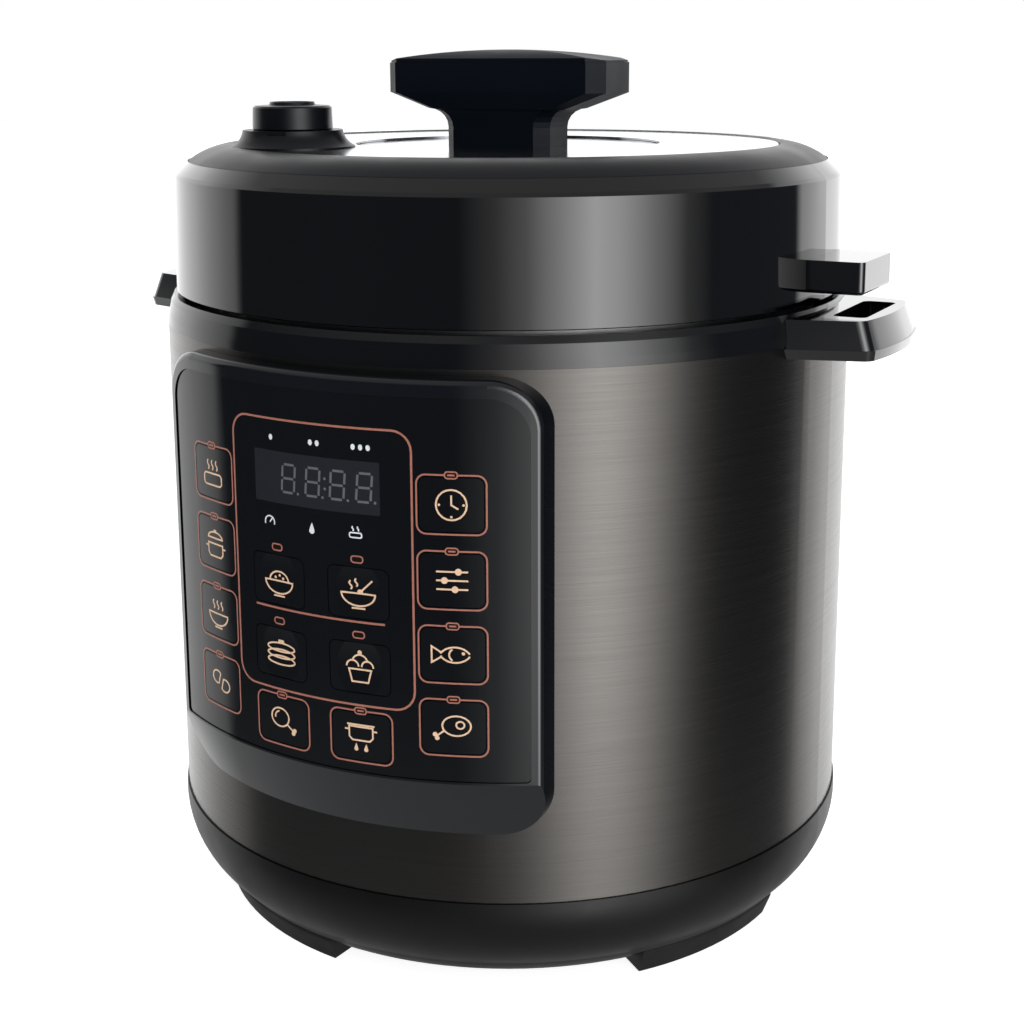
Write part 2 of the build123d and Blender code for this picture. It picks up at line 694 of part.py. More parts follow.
# ---------------------------------------------------------------- inner pot
def make_inner_pot():
    outer_r = POT_INNER_R + POT_WALL
    corner = 14.0
    k = corner * (1 - math.sqrt(0.5))
    floor_z = POT_BOTTOM_Z + POT_WALL
    inner_corner = corner - POT_WALL
    ki = inner_corner * (1 - math.sqrt(0.5))
    rim_low = POT_RIM_TOP_Z - POT_WALL
    return revolved_curve(
        Line((0, POT_BOTTOM_Z), (outer_r - corner, POT_BOTTOM_Z)),
        ThreePointArc(
            (outer_r - corner, POT_BOTTOM_Z),
            (outer_r - k, POT_BOTTOM_Z + k),
            (outer_r, POT_BOTTOM_Z + corner),
        ),
        Line((outer_r, POT_BOTTOM_Z + corner), (outer_r, rim_low)),
        Line((outer_r, rim_low), (POT_RIM_R, rim_low)),
        ThreePointArc(
            (POT_RIM_R, rim_low), (POT_RIM_R + 0.6, rim_low + POT_WALL / 2), (POT_RIM_R, POT_RIM_TOP_Z)
        ),
        Line((POT_RIM_R, POT_RIM_TOP_Z), (POT_INNER_R + 1, POT_RIM_TOP_Z)),
        Line((POT_INNER_R + 1, POT_RIM_TOP_Z), (POT_INNER_R, POT_RIM_TOP_Z - 1)),
        Line((POT_INNER_R, POT_RIM_TOP_Z - 1), (POT_INNER_R, floor_z + inner_corner)),
        ThreePointArc(
            (POT_INNER_R, floor_z + inner_corner),
            (POT_INNER_R - ki, floor_z + ki),
            (POT_INNER_R - inner_corner, floor_z),
        ),
        Line((POT_INNER_R - inner_corner, floor_z), (0, floor_z)),
        Line((0, floor_z), (0, POT_BOTTOM_Z)),
    )


parts["inner_pot"] = make_inner_pot()


# ---------------------------------------------------------------- seal
SEAL_Z = (POT_RIM_TOP_Z + 0.3, POT_RIM_TOP_Z + 11.0)
SEAL_R = (105.6, PRESSURE_LID_R - PRESSURE_LID_WALL - 0.35)


def make_sealing_ring():
    """Silicone ring with a lower lip on the pot's rim and an upper lip against the lid."""
    inner_r, outer_r = SEAL_R
    z0, z1 = SEAL_Z
    return revolved(
        (inner_r + 3.2, z0),
        (outer_r, z0),
        (outer_r, z0 + 2.2),
        (outer_r - 1.6, z0 + 3.0),
        (outer_r - 1.6, z1 - 3.0),
        (outer_r, z1 - 2.2),
        (outer_r, z1),
        (inner_r + 2.0, z1),
        (inner_r, z1 - 1.6),
        (inner_r, z0 + 4.4),
        (inner_r + 1.4, z0 + 3.2),
    )


def make_seal_rack():
    """Steel hoop that keeps the sealing ring in its seat."""
    inner_r = SEAL_R[0] - 1.6
    return ring(inner_r, SEAL_R[0] - 0.2, SEAL_Z[0] + 4, SEAL_Z[1] + 0.6)


parts["sealing_ring"] = make_sealing_ring()
parts["seal_rack"] = make_seal_rack()


# ---------------------------------------------------------------- pressure lid
LID_WALL_TOP_Z = 259.5
LID_DOME_Z = 276.0
DOME_RIM_R = 100.0
DOME_RISE = 8.5
DOME_SPHERE_R = (DOME_RIM_R**2 + DOME_RISE**2) / (2 * DOME_RISE)
BOLT_X = 12.0
FLOAT_PLACE = Rot(0, 0, FLOAT_ANGLE) * Pos(0, -FLOAT_RADIUS, 0)
VALVE_PLACE = Rot(0, 0, VALVE_ANGLE) * Pos(0, -VALVE_RADIUS, 0)
LID_SCREW_R = 92.0


def dome_z(radius):
    """Height of the pressure lid's spherical outer face at a radius."""
    return LID_DOME_Z - DOME_SPHERE_R + math.sqrt(DOME_SPHERE_R**2 - radius**2)


def make_pressure_lid():
    wall = PRESSURE_LID_WALL
    bottom_z = POT_RIM_TOP_Z + 2.8
    rim = (DOME_RIM_R, dome_z(DOME_RIM_R))
    lid = revolved_curve(
        Line((PRESSURE_LID_R, bottom_z), (PRESSURE_LID_R, LID_WALL_TOP_Z)),
        ThreePointArc((PRESSURE_LID_R, LID_WALL_TOP_Z), (111.4, 265.2), rim),
        ThreePointArc(rim, (50, dome_z(50)), (0, LID_DOME_Z)),
        Line((0, LID_DOME_Z), (0, LID_DOME_Z - wall)),
        ThreePointArc((0, LID_DOME_Z - wall), (50, dome_z(50) - wall), (DOME_RIM_R, rim[1] - wall)),
        ThreePointArc(
            (DOME_RIM_R, rim[1] - wall), (110.2, 264.1), (PRESSURE_LID_R - wall, LID_WALL_TOP_Z)
        ),
        Line((PRESSURE_LID_R - wall, LID_WALL_TOP_Z), (PRESSURE_LID_R - wall, bottom_z)),
        Line((PRESSURE_LID_R - wall, bottom_z), (PRESSURE_LID_R, bottom_z)),
    )
    for i in range(LUG_COUNT):
        centre = (i + 0.5) * LUG_PITCH_DEG
        lid += sector(PRESSURE_LID_R - 0.8, 121.6, bottom_z, bottom_z + 1.8, centre, LUG_SPAN_DEG)
    lid -= VALVE_PLACE * disc(5.1, 250, 290)
    lid -= FLOAT_PLACE * disc(6.1, 250, 290)
    for x in (-BOLT_X, BOLT_X):
        lid -= Pos(x, 0, 0) * disc(3.2, 260, 290)
    for place in around(4, LID_SCREW_R):
        lid -= place * disc(2.2, 255, 290)
    return lid


parts["pressure_lid"] = make_pressure_lid()


# ---------------------------------------------------------------- lid cover, ring and top plate
SEAT_R = 104.0
PLATE_LEDGE_R = 101.0
MOUND_NOTCH_TURN = 60.0


def skirt_outside():
    return revolved(
        (0, SKIRT_BOTTOM_Z),
        (SKIRT_BOTTOM_R, SKIRT_BOTTOM_Z),
        (SKIRT_BOTTOM_R, SKIRT_BOTTOM_Z + 0.4),
        (SKIRT_TOP_R, SKIRT_TOP_Z),
        (0, SKIRT_TOP_Z),
    )


def make_lid_cover():
    """Glossy skirt with a chamfered shoulder and an inner seat for the ring and plate."""
    cover = revolved(
        (SKIRT_BOTTOM_R - SKIRT_WALL, SKIRT_BOTTOM_Z),
        (SKIRT_BOTTOM_R - 0.4, SKIRT_BOTTOM_Z),
        (SKIRT_BOTTOM_R, SKIRT_BOTTOM_Z + 0.4),
        (SKIRT_TOP_R, SKIRT_TOP_Z),
        (132.5, SKIRT_TOP_Z + 1.4),
        (RING_OUTER_R + 0.2, RING_OUTER_Z),
        (RING_OUTER_R + 0.2, RING_OUTER_Z - 2.2),
        (SEAT_R, RING_OUTER_Z - 2.2),
        (SEAT_R, RING_OUTER_Z - 4.6),
        (RING_OUTER_R - 1, RING_OUTER_Z - 4.6),
        (SKIRT_TOP_R - SKIRT_WALL, SKIRT_TOP_Z - 2),
    )
    for i in range(12):
        rib = block(-0.9, 0.9, -131.5, -124, 262, RING_OUTER_Z - 4.4)
        cover += turned(15 + i * 30) * rib
    deck = ring(10, SEAT_R + 0.5, RING_OUTER_Z - 4.6, RING_OUTER_Z - 2.2)
    cover += deck
    for place in around(4, LID_SCREW_R):
        z = dome_z(LID_SCREW_R - 5) + 0.2
        cover += place * disc(5, z, RING_OUTER_Z - 4)
        cover -= place * disc(1.9, z - 1, RING_OUTER_Z - 6)
    cover -= VALVE_PLACE * disc(12, 280, 310)
    cover -= FLOAT_PLACE * disc(4.6, 280, 310)
    cover -= chamfered_slab(STEM_LENGTH + 0.4, STEM_WIDTH + 0.4, STEM_CORNER, 285, 310)
    return cover


def make_lid_ring():
    """Matt domed ring round the plate, with the flared mound that the steam valve stands on."""
    under_z = RING_OUTER_Z - 2.1
    ledge_z = PLATE_TOP_Z - PLATE_THICKNESS
    lid_ring = revolved_curve(
        Line((PLATE_LEDGE_R, under_z), (RING_OUTER_R, under_z)),
        Line((RING_OUTER_R, under_z), (RING_OUTER_R, RING_OUTER_Z - 0.3)),
        Line((RING_OUTER_R, RING_OUTER_Z - 0.3), (RING_OUTER_R - 0.6, RING_OUTER_Z + 0.3)),
        ThreePointArc((RING_OUTER_R - 0.6, RING_OUTER_Z + 0.3), (119.6, 303.0), (111.0, RING_CREST_Z)),
        Line((111.0, RING_CREST_Z), (PLATE_R + 0.2, RING_CREST_Z - 0.5)),
        Line((PLATE_R + 0.2, RING_CREST_Z - 0.5), (PLATE_R + 0.2, ledge_z)),
        Line((PLATE_R + 0.2, ledge_z), (PLATE_LEDGE_R, ledge_z)),
        Line((PLATE_LEDGE_R, ledge_z), (PLATE_LEDGE_R, under_z)),
    )
    base_r, top_r = MOUND_R
    mound = revolved_curve(
        Line((0, under_z), (base_r, under_z)),
        Line((base_r, under_z), (base_r, RING_CREST_Z)),
        ThreePointArc((base_r, RING_CREST_Z), (top_r + 1.7, MOUND_TOP_Z - 4.0), (top_r, MOUND_TOP_Z)),
        Line((top_r, MOUND_TOP_Z), (0, MOUND_TOP_Z)),
        Line((0, MOUND_TOP_Z), (0, under_z)),
    )
    mound -= Rot(0, 0, MOUND_NOTCH_TURN) * block(-3.5, 3.5, -base_r, -top_r + 1.6, MOUND_TOP_Z - 1.6, 330)
    lid_ring += VALVE_PLACE * mound
    return lid_ring - VALVE_PLACE * disc(6.5, 280, 330)


def make_lid_top_plate():
    """Silver disc, recessed inside a fine shadow gap, with openings for valve, float and handle."""
    bottom_z = PLATE_TOP_Z - PLATE_THICKNESS
    recess_z = PLATE_TOP_Z - PLATE_RECESS
    plate = revolved(
        (0, bottom_z),
        (PLATE_R, bottom_z),
        (PLATE_R, PLATE_TOP_Z - 0.5),
        (PLATE_R - 0.5, PLATE_TOP_Z),
        (PLATE_RECESS_R, PLATE_TOP_Z),
        (PLATE_RECESS_R, recess_z - 0.5),
        (PLATE_RECESS_R - 0.9, recess_z - 0.5),
        (PLATE_RECESS_R - 0.9, recess_z),
        (0, recess_z),
    )
    plate -= VALVE_PLACE * disc(MOUND_R[0] + 0.2, 280, 320)
    plate -= FLOAT_PLACE * disc(4.4, 280, 320)
    return plate - chamfered_slab(STEM_LENGTH + 0.4, STEM_WIDTH + 0.4, STEM_CORNER, 285, 310)


def make_lid_ears():
    """Two stops on the skirt that line up with the side handles when the lid is seated."""
    z0, z1 = SHELL_TOP_Z + 17.0, SHELL_TOP_Z + 29.2
    ear = block(126, 154.2, -19, 19, z0, z1)
    ear = fillet(ear.edges().filter_by(Axis.Z).group_by(Axis.X)[-1], 2.5)
    outer_low = ear.edges().group_by(Axis.Z)[0].filter_by_position(Axis.X, 130, 160)
    ear = fillet(outer_low, 1.6) - skirt_outside()
    return Compound(children=[ear, Rot(0, 0, 180) * ear])


def make_lid_screws():
    screws = []
    for place in around(4, LID_SCREW_R):
        head_z = dome_z(LID_SCREW_R) - PRESSURE_LID_WALL - 1.0
        screws.append(place * Pos(0, 0, head_z) * pan_head_screw(4.2, 1.6, 1.8, 20))
    return Compound(children=screws)


parts["lid_cover"] = make_lid_cover()
parts["lid_ring"] = make_lid_ring()
parts["lid_top_plate"] = make_lid_top_plate()
parts["lid_ears"] = make_lid_ears()
parts["lid_screws"] = make_lid_screws()


# ---------------------------------------------------------------- lid handle
STEM_BOTTOM_Z = RING_OUTER_Z - 6.0
FLARE_BOTTOM_Z = 310.5
UNDERSIDE_Z = 317.8
FLARE_SPREAD = (7.5, 2.5)
FLARE_TURNS = (0, 18, 36, 54, 72, 90)
HANDLE_WALL = 6.0
BOLT_HEAD_Z = LID_DOME_Z - PRESSURE_LID_WALL - 0.5


def neck_section(turn):
    """Outline of the stem's flare, a number of degrees round its quarter ellipse."""
    spread = 1 - math.cos(math.radians(turn))
    z = FLARE_BOTTOM_Z + (UNDERSIDE_Z - FLARE_BOTTOM_Z) * math.sin(math.radians(turn))
    length = STEM_LENGTH + 2 * FLARE_SPREAD[0] * spread
    width = STEM_WIDTH + 2 * FLARE_SPREAD[1] * spread
    return chamfered_plan(length, width, STEM_CORNER, z)


def make_lid_handle():
    """Bevelled bar with a sloping underside that flares from a stem, hollow above for its bolts."""
    z0, z1 = HANDLE_BAND_Z
    handle = chamfered_slab(HANDLE_LENGTH, HANDLE_WIDTH, HANDLE_CORNER, z0, z1)
    levels = [neck_section(turn) for turn in FLARE_TURNS]
    levels.append(chamfered_plan(HANDLE_LENGTH, HANDLE_WIDTH, HANDLE_CORNER, z0))
    for lower, upper in zip(levels, levels[1:]):
        handle += loft([lower, upper], ruled=True)
    handle += chamfered_slab(STEM_LENGTH, STEM_WIDTH, STEM_CORNER, STEM_BOTTOM_Z, FLARE_BOTTOM_Z)
    well_length, well_width = HANDLE_LENGTH - 2 * HANDLE_WALL, HANDLE_WIDTH - 2 * HANDLE_WALL
    handle -= chamfered_slab(well_length, well_width, 4, z1 - 6, z1 + 1)
    for x in (-BOLT_X, BOLT_X):
        handle -= Pos(x, 0, 0) * disc(2.6, STEM_BOTTOM_Z - 1, STEM_BOTTOM_Z + 22)
    return handle


def crown_section(half, edge_z):
    """Arched outline of the cap, from one edge over its crest to the other."""
    low_z = HANDLE_BAND_Z[1] - 2
    return make_face(
        Curve()
        + [
            ThreePointArc((-half, edge_z), (0, HANDLE_TOP_Z), (half, edge_z)),
            Line((half, edge_z), (half, low_z)),
            Line((half, low_z), (-half, low_z)),
            Line((-half, low_z), (-half, edge_z)),
        ]
    )


def make_handle_cap():
    """Domed crown, pressed into the top of the bar."""
    z0 = HANDLE_BAND_Z[1]
    length, width = HANDLE_LENGTH - 0.8, HANDLE_WIDTH - 0.8
    cap = chamfered_slab(length, width, HANDLE_CORNER, z0 + 0.05, HANDLE_TOP_Z + 5)
    cap &= extrude(Plane.XZ * crown_section(HANDLE_LENGTH / 2, z0 + 0.6), HANDLE_WIDTH, both=True)
    cap &= extrude(Plane.YZ * crown_section(HANDLE_WIDTH / 2, z0 + 1.4), HANDLE_LENGTH, both=True)
    plug_length, plug_width = length - 2 * HANDLE_WALL, width - 2 * HANDLE_WALL
    return cap + chamfered_slab(plug_length, plug_width, 4, z0 - 4, z0 + 0.1)


def make_handle_bolts():
    bolt = Pos(0, 0, BOLT_HEAD_Z) * (disc(5, -4, 0) + disc(2.5, 0, 34))
    return Compound(children=[Pos(x, 0, 0) * bolt for x in (-BOLT_X, BOLT_X)])


parts["lid_handle"] = make_lid_handle()
parts["handle_cap"] = make_handle_cap()
parts["handle_bolts"] = make_handle_bolts()


# ---------------------------------------------------------------- steam valve and float valve
PIPE_TOP_Z = MOUND_TOP_Z - 1.2
PIPE_TIP_Z = VALVE_CAP_Z[0] + 2.2
PIPE_LID_Z = dome_z(VALVE_RADIUS)


def make_exhaust_pipe():
    """Steam pipe through the lid, with its nut and the narrow tip that the weight closes."""
    pipe = disc(5, PIPE_LID_Z - 8, PIPE_TOP_Z) + disc(3, PIPE_TOP_Z, PIPE_TIP_Z)
    nut = Pos(0, 0, PIPE_LID_Z + 1.2) * extrude(RegularPolygon(8, 6), 5)
    return VALVE_PLACE * (pipe + nut - disc(1.4, PIPE_LID_Z - 9, PIPE_TIP_Z + 1))


def make_anti_block_cap():
    """Slotted cap that keeps food out of the pipe."""
    z = PIPE_LID_Z
    cap = disc(11, z - 14, z - 4) - disc(9.6, z - 12.6, z - 3)
    cap += ring(5.0, 11, z - 5.6, z - 4)
    for i in range(8):
        cap -= Rot(0, 0, 45 * i) * block(-1.2, 1.2, -12, -8, z - 11.5, z - 6.5)
    return VALVE_PLACE * cap


def make_valve_weight():
    """Steel weight that sits over the pipe's tip."""
    z0, z1 = VALVE_CAP_Z[0] + 0.1, VALVE_CAP_Z[1] - 2.6
    return VALVE_PLACE * (disc(11.0, z0, z1) - disc(3.4, z0 - 1, PIPE_TIP_Z + 0.3))


def make_valve_cap():
    """Smooth turning cap with a low nozzle ring."""
    z0, z1 = VALVE_CAP_Z
    cap = revolved(
        (VALVE_CAP_R - 0.4, z0),
        (VALVE_CAP_R, z0 + 0.4),
        (VALVE_CAP_R - 0.3, z1 - 0.7),
        (VALVE_CAP_R - 1.2, z1),
        (8.9, z1 + 0.4),
        (8.5, z1 + 1.5),
        (7.6, z1 + 1.5),
        (7.2, z1 - 0.8),
        (2.2, z1 - 0.8),
        (2.2, z1 - 2.2),
        (11.6, z1 - 2.2),
        (11.6, z0),
    )
    return VALVE_PLACE * cap


def make_float_pin():
    """Pin that steam lifts to lock the lid."""
    lid_z = dome_z(FLOAT_RADIUS)
    top_z = PLATE_TOP_Z - 1.4
    head = disc(3.8, top_z - 5, top_z)
    stop = disc(5.2, lid_z - 6, lid_z - 4.3)
    return FLOAT_PLACE * (disc(3.0, lid_z - 4.5, top_z) + head + stop)


def make_float_seal():
    """Silicone grommet round the float pin."""
    lid_z = dome_z(FLOAT_RADIUS)
    seal = ring(3.4, 6.0, lid_z - 2.6, lid_z + 2.4) + ring(5.0, 9.0, lid_z + 1.4, lid_z + 3.0)
    return FLOAT_PLACE * seal


parts["exhaust_pipe"] = make_exhaust_pipe()
parts["anti_block_cap"] = make_anti_block_cap()
parts["valve_weight"] = make_valve_weight()
parts["valve_cap"] = make_valve_cap()
parts["float_pin"] = make_float_pin()
parts["float_seal"] = make_float_seal()


# ---------------------------------------------------------------- export
os.makedirs("parts", exist_ok=True)
for name, shape in parts.items():
    export_step(shape, f"parts/{name}.step")
print(len(parts), "parts")
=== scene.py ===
import json
import math

import bmesh
import bpy
from mathutils import Matrix, Vector
from mathutils.geometry import tessellate_polygon


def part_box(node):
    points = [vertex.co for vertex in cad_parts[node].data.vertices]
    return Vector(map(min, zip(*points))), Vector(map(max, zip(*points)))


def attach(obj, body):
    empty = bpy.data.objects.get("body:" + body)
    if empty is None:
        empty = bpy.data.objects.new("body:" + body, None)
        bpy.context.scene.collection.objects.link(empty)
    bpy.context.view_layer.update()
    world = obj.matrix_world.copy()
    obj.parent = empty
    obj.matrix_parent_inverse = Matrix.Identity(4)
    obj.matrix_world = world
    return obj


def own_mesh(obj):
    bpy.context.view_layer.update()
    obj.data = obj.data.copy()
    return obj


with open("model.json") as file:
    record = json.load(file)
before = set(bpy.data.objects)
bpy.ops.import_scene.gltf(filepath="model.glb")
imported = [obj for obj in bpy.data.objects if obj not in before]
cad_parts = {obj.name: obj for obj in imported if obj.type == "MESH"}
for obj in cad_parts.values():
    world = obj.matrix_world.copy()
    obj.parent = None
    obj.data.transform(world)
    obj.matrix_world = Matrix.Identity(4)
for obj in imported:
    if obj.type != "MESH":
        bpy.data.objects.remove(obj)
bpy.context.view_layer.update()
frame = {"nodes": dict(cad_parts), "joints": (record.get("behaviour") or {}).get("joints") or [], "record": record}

MM = 0.001

# ---------------------------------------------------------------- camera
VIEW_AZIMUTH = math.radians(27.6)
VIEW_DISTANCE = 0.6902
VIEW_HEIGHT = 0.3397
VIEW_PITCH = 0.2034
VIEW_YAW = 0.0018
VIEW_ROLL = -0.0042
LENS_MM = 59.13
SENSOR_MM = 36.0
SHIFT_Y = -0.1098
NEAREST = 0.01


def make_camera():
    data = bpy.data.cameras.new("camera")
    data.lens = LENS_MM
    data.sensor_width = SENSOR_MM
    data.shift_y = SHIFT_Y
    data.clip_start = NEAREST
    camera = bpy.data.objects.new("camera", data)
    bpy.context.collection.objects.link(camera)
    level = math.cos(VIEW_YAW) * math.cos(VIEW_PITCH)
    forward = Vector((math.sin(VIEW_YAW), level, -math.sin(VIEW_PITCH)))
    right = forward.cross(Vector((0, 0, 1))).normalized()
    up = right.cross(forward)
    rolled_right = right * math.cos(VIEW_ROLL) + up * math.sin(VIEW_ROLL)
    rolled_up = up * math.cos(VIEW_ROLL) - right * math.sin(VIEW_ROLL)
    pose = Matrix((rolled_right, rolled_up, -forward)).transposed().to_4x4()
    pose.translation = Vector((0, -VIEW_DISTANCE, VIEW_HEIGHT))
    camera.matrix_world = Matrix.Rotation(VIEW_AZIMUTH, 4, "Z") @ pose
    bpy.context.scene.camera = camera


# ---------------------------------------------------------------- studio
# Brightness of the studio by direction: 0 degrees is towards the camera, and more is to its right.
STUDIO = (
    (-180, 1.45),
    (-164, 1.5),
    (-150, 1.5),
    (-130, 1.5),
    (-112, 1.1),
    (-103, 0.8),
    (-99, 0.07),
    (-60, 0.11),
    (-16, 0.1),
    (-4, 0.5),
    (6, 1.3),
    (16, 3.2),
    (28, 6.0),
    (36, 5.0),
    (48, 2.4),
    (60, 0.5),
    (70, 0.12),
    (111, 0.08),
    (115, 1.5),
    (140, 1.9),
    (150, 1.5),
    (180, 1.45),
)
STUDIO_PEAK = max(light for degrees, light in STUDIO)
# Where it is darker than this it leans to blue, and less so to green.
DARK_BELOW = 0.3
DARK_TINT = 1.2
GREEN_SHARE = 0.4
# From one steepness to another, up or down, the studio fades to an even dim light.
FADE_FROM = 0.34
FADE_TO = 0.64
FADE_LIGHT = 0.42

FLOOR_REACH = 6.0
FLOOR_DROP = 0.0002
FLOOR_GREY = 0.8
FLOOR_ROUGHNESS = 0.9
FLOOR_GLOW = 0.85
LAMP_AIM = (0, 0, 0.2)


def make_studio():
    """White surroundings to look at, with dark sides and soft lamps for the gloss to mirror."""
    world = bpy.data.worlds.new("studio")
    bpy.context.scene.world = world
    world.use_nodes = True
    tree = world.node_tree
    nodes, links = tree.nodes, tree.links
    nodes.clear()
    place = nodes.new("ShaderNodeTexCoord")
    parts = []
    toward_right = (math.cos(VIEW_AZIMUTH), math.sin(VIEW_AZIMUTH), 0)
    toward_camera = (math.sin(VIEW_AZIMUTH), -math.cos(VIEW_AZIMUTH), 0)
    for direction in (toward_right, toward_camera):
        dot = nodes.new("ShaderNodeVectorMath")
        dot.operation = "DOT_PRODUCT"
        dot.inputs[1].default_value = direction
        links.new(place.outputs["Generated"], dot.inputs[0])
        parts.append(dot.outputs["Value"])
    angle = nodes.new("ShaderNodeMath")
    angle.operation = "ARCTAN2"
    links.new(parts[0], angle.inputs[0])
    links.new(parts[1], angle.inputs[1])
    spread = nodes.new("ShaderNodeMapRange")
    spread.inputs["From Min"].default_value = -math.pi
    spread.inputs["From Max"].default_value = math.pi
    links.new(angle.outputs[0], spread.inputs["Value"])
    ramp = nodes.new("ShaderNodeValToRGB")
    ramp.color_ramp.interpolation = "LINEAR"
    elements = ramp.color_ramp.elements
    while len(elements) > 1:
        elements.remove(elements[-1])
    for i, (degrees, light) in enumerate(STUDIO):
        position = (degrees + 180) / 360
        element = elements[0] if i == 0 else elements.new(position)
        element.position = position
        level = light / STUDIO_PEAK
        tint = DARK_TINT if light < DARK_BELOW else 1.0
        element.color = (level, level * tint**GREEN_SHARE, level * tint, 1)
    links.new(spread.outputs["Result"], ramp.inputs["Fac"])
    split = nodes.new("ShaderNodeSeparateXYZ")
    links.new(place.outputs["Generated"], split.inputs[0])
    fade = nodes.new("ShaderNodeMapRange")
    fade.inputs["From Min"].default_value = FADE_FROM
    fade.inputs["From Max"].default_value = FADE_TO
    steepness = nodes.new("ShaderNodeMath")
    steepness.operation = "ABSOLUTE"
    links.new(split.outputs["Z"], steepness.inputs[0])
    links.new(steepness.outputs[0], fade.inputs["Value"])
    dim = nodes.new("ShaderNodeMix")
    dim.data_type = "RGBA"
    dim.inputs["B"].default_value = (FADE_LIGHT / STUDIO_PEAK,) * 3 + (1,)
    links.new(fade.outputs["Result"], dim.inputs["Factor"])
    links.new(ramp.outputs["Color"], dim.inputs["A"])
    lit = nodes.new("ShaderNodeBackground")
    lit.inputs["Strength"].default_value = STUDIO_PEAK
    links.new(dim.outputs["Result"], lit.inputs["Color"])
    plain = nodes.new("ShaderNodeBackground")
    plain.inputs["Color"].default_value = (1, 1, 1, 1)
    path = nodes.new("ShaderNodeLightPath")
    mix = nodes.new("ShaderNodeMixShader")
    output = nodes.new("ShaderNodeOutputWorld")
    links.new(path.outputs["Is Camera Ray"], mix.inputs["Fac"])
    links.new(lit.outputs[0], mix.inputs[1])
    links.new(plain.outputs[0], mix.inputs[2])
    links.new(mix.outputs[0], output.inputs["Surface"])
    bpy.context.scene.view_settings.view_transform = "Standard"


def make_floor():
    """Pale floor that reads as white, with only a soft shadow under the cooker."""
    mesh = bpy.data.meshes.new("floor")
    signs = ((-1, -1), (1, -1), (1, 1), (-1, 1))
    corners = [(x * FLOOR_REACH, y * FLOOR_REACH, -FLOOR_DROP) for x, y in signs]
    mesh.from_pydata(corners, [], [(0, 1, 2, 3)])
    floor = bpy.data.objects.new("floor", mesh)
    bpy.context.collection.objects.link(floor)
    floor.visible_glossy = False
    material = bpy.data.materials.new("floor")
    material.use_nodes = True
    shader = material.node_tree.nodes["Principled BSDF"]
    shader.inputs["Base Color"].default_value = (FLOOR_GREY, FLOOR_GREY, FLOOR_GREY, 1)
    shader.inputs["Roughness"].default_value = FLOOR_ROUGHNESS
    shader.inputs["Emission Color"].default_value = (1, 1, 1, 1)
    shader.inputs["Emission Strength"].default_value = FLOOR_GLOW
    mesh.materials.append(material)


def make_lamp(name, place, size, power):
    """A soft lamp that lights the cooker without being mirrored in its gloss."""
    data = bpy.data.lights.new(name, "AREA")
    data.shape = "RECTANGLE"
    data.size, data.size_y = size
    data.energy = power
    lamp = bpy.data.objects.new(name, data)
    lamp.location = place
    aim = Vector(LAMP_AIM) - Vector(place)
    lamp.rotation_euler = aim.to_track_quat("-Z", "Y").to_euler()
    lamp.visible_glossy = False
    bpy.context.collection.objects.link(lamp)


make_camera()
make_studio()
make_floor()
make_lamp("overhead", place=(0.0, 0.3, 2.4), size=(2.0, 2.0), power=22.0)


# ---------------------------------------------------------------- materials
# Noise seldom leaves this range, so what it drives is spread over it.
NOISE_RANGE = (0.3, 0.7)
COAT_ROUGHNESS = 0.04
SMOOTHEST = 0.01
GRAIN = 0.03 * MM
COARSE_GRAIN = 0.05 * MM
RIPPLE = 0.4 * MM
# Scale of the streaks against that of the brushed lines: a smaller one is longer and wider.
STREAK_ALONG = 0.4
STREAK_ACROSS = 0.16
FLECK_SCALE = 420.0
FLECK_REACH = 0.16
FLECK_COVER = 0.65
TRACK_SCALE = 160.0


def linear(r, g, b):
    """Colour from 0 to 255 display values."""
    return tuple((c / 255) ** 2.2 for c in (r, g, b)) + (1.0,)


def scaled(color, by):
    """The same colour, lighter or darker."""
    return tuple(c * by for c in color[:3]) + (1.0,)


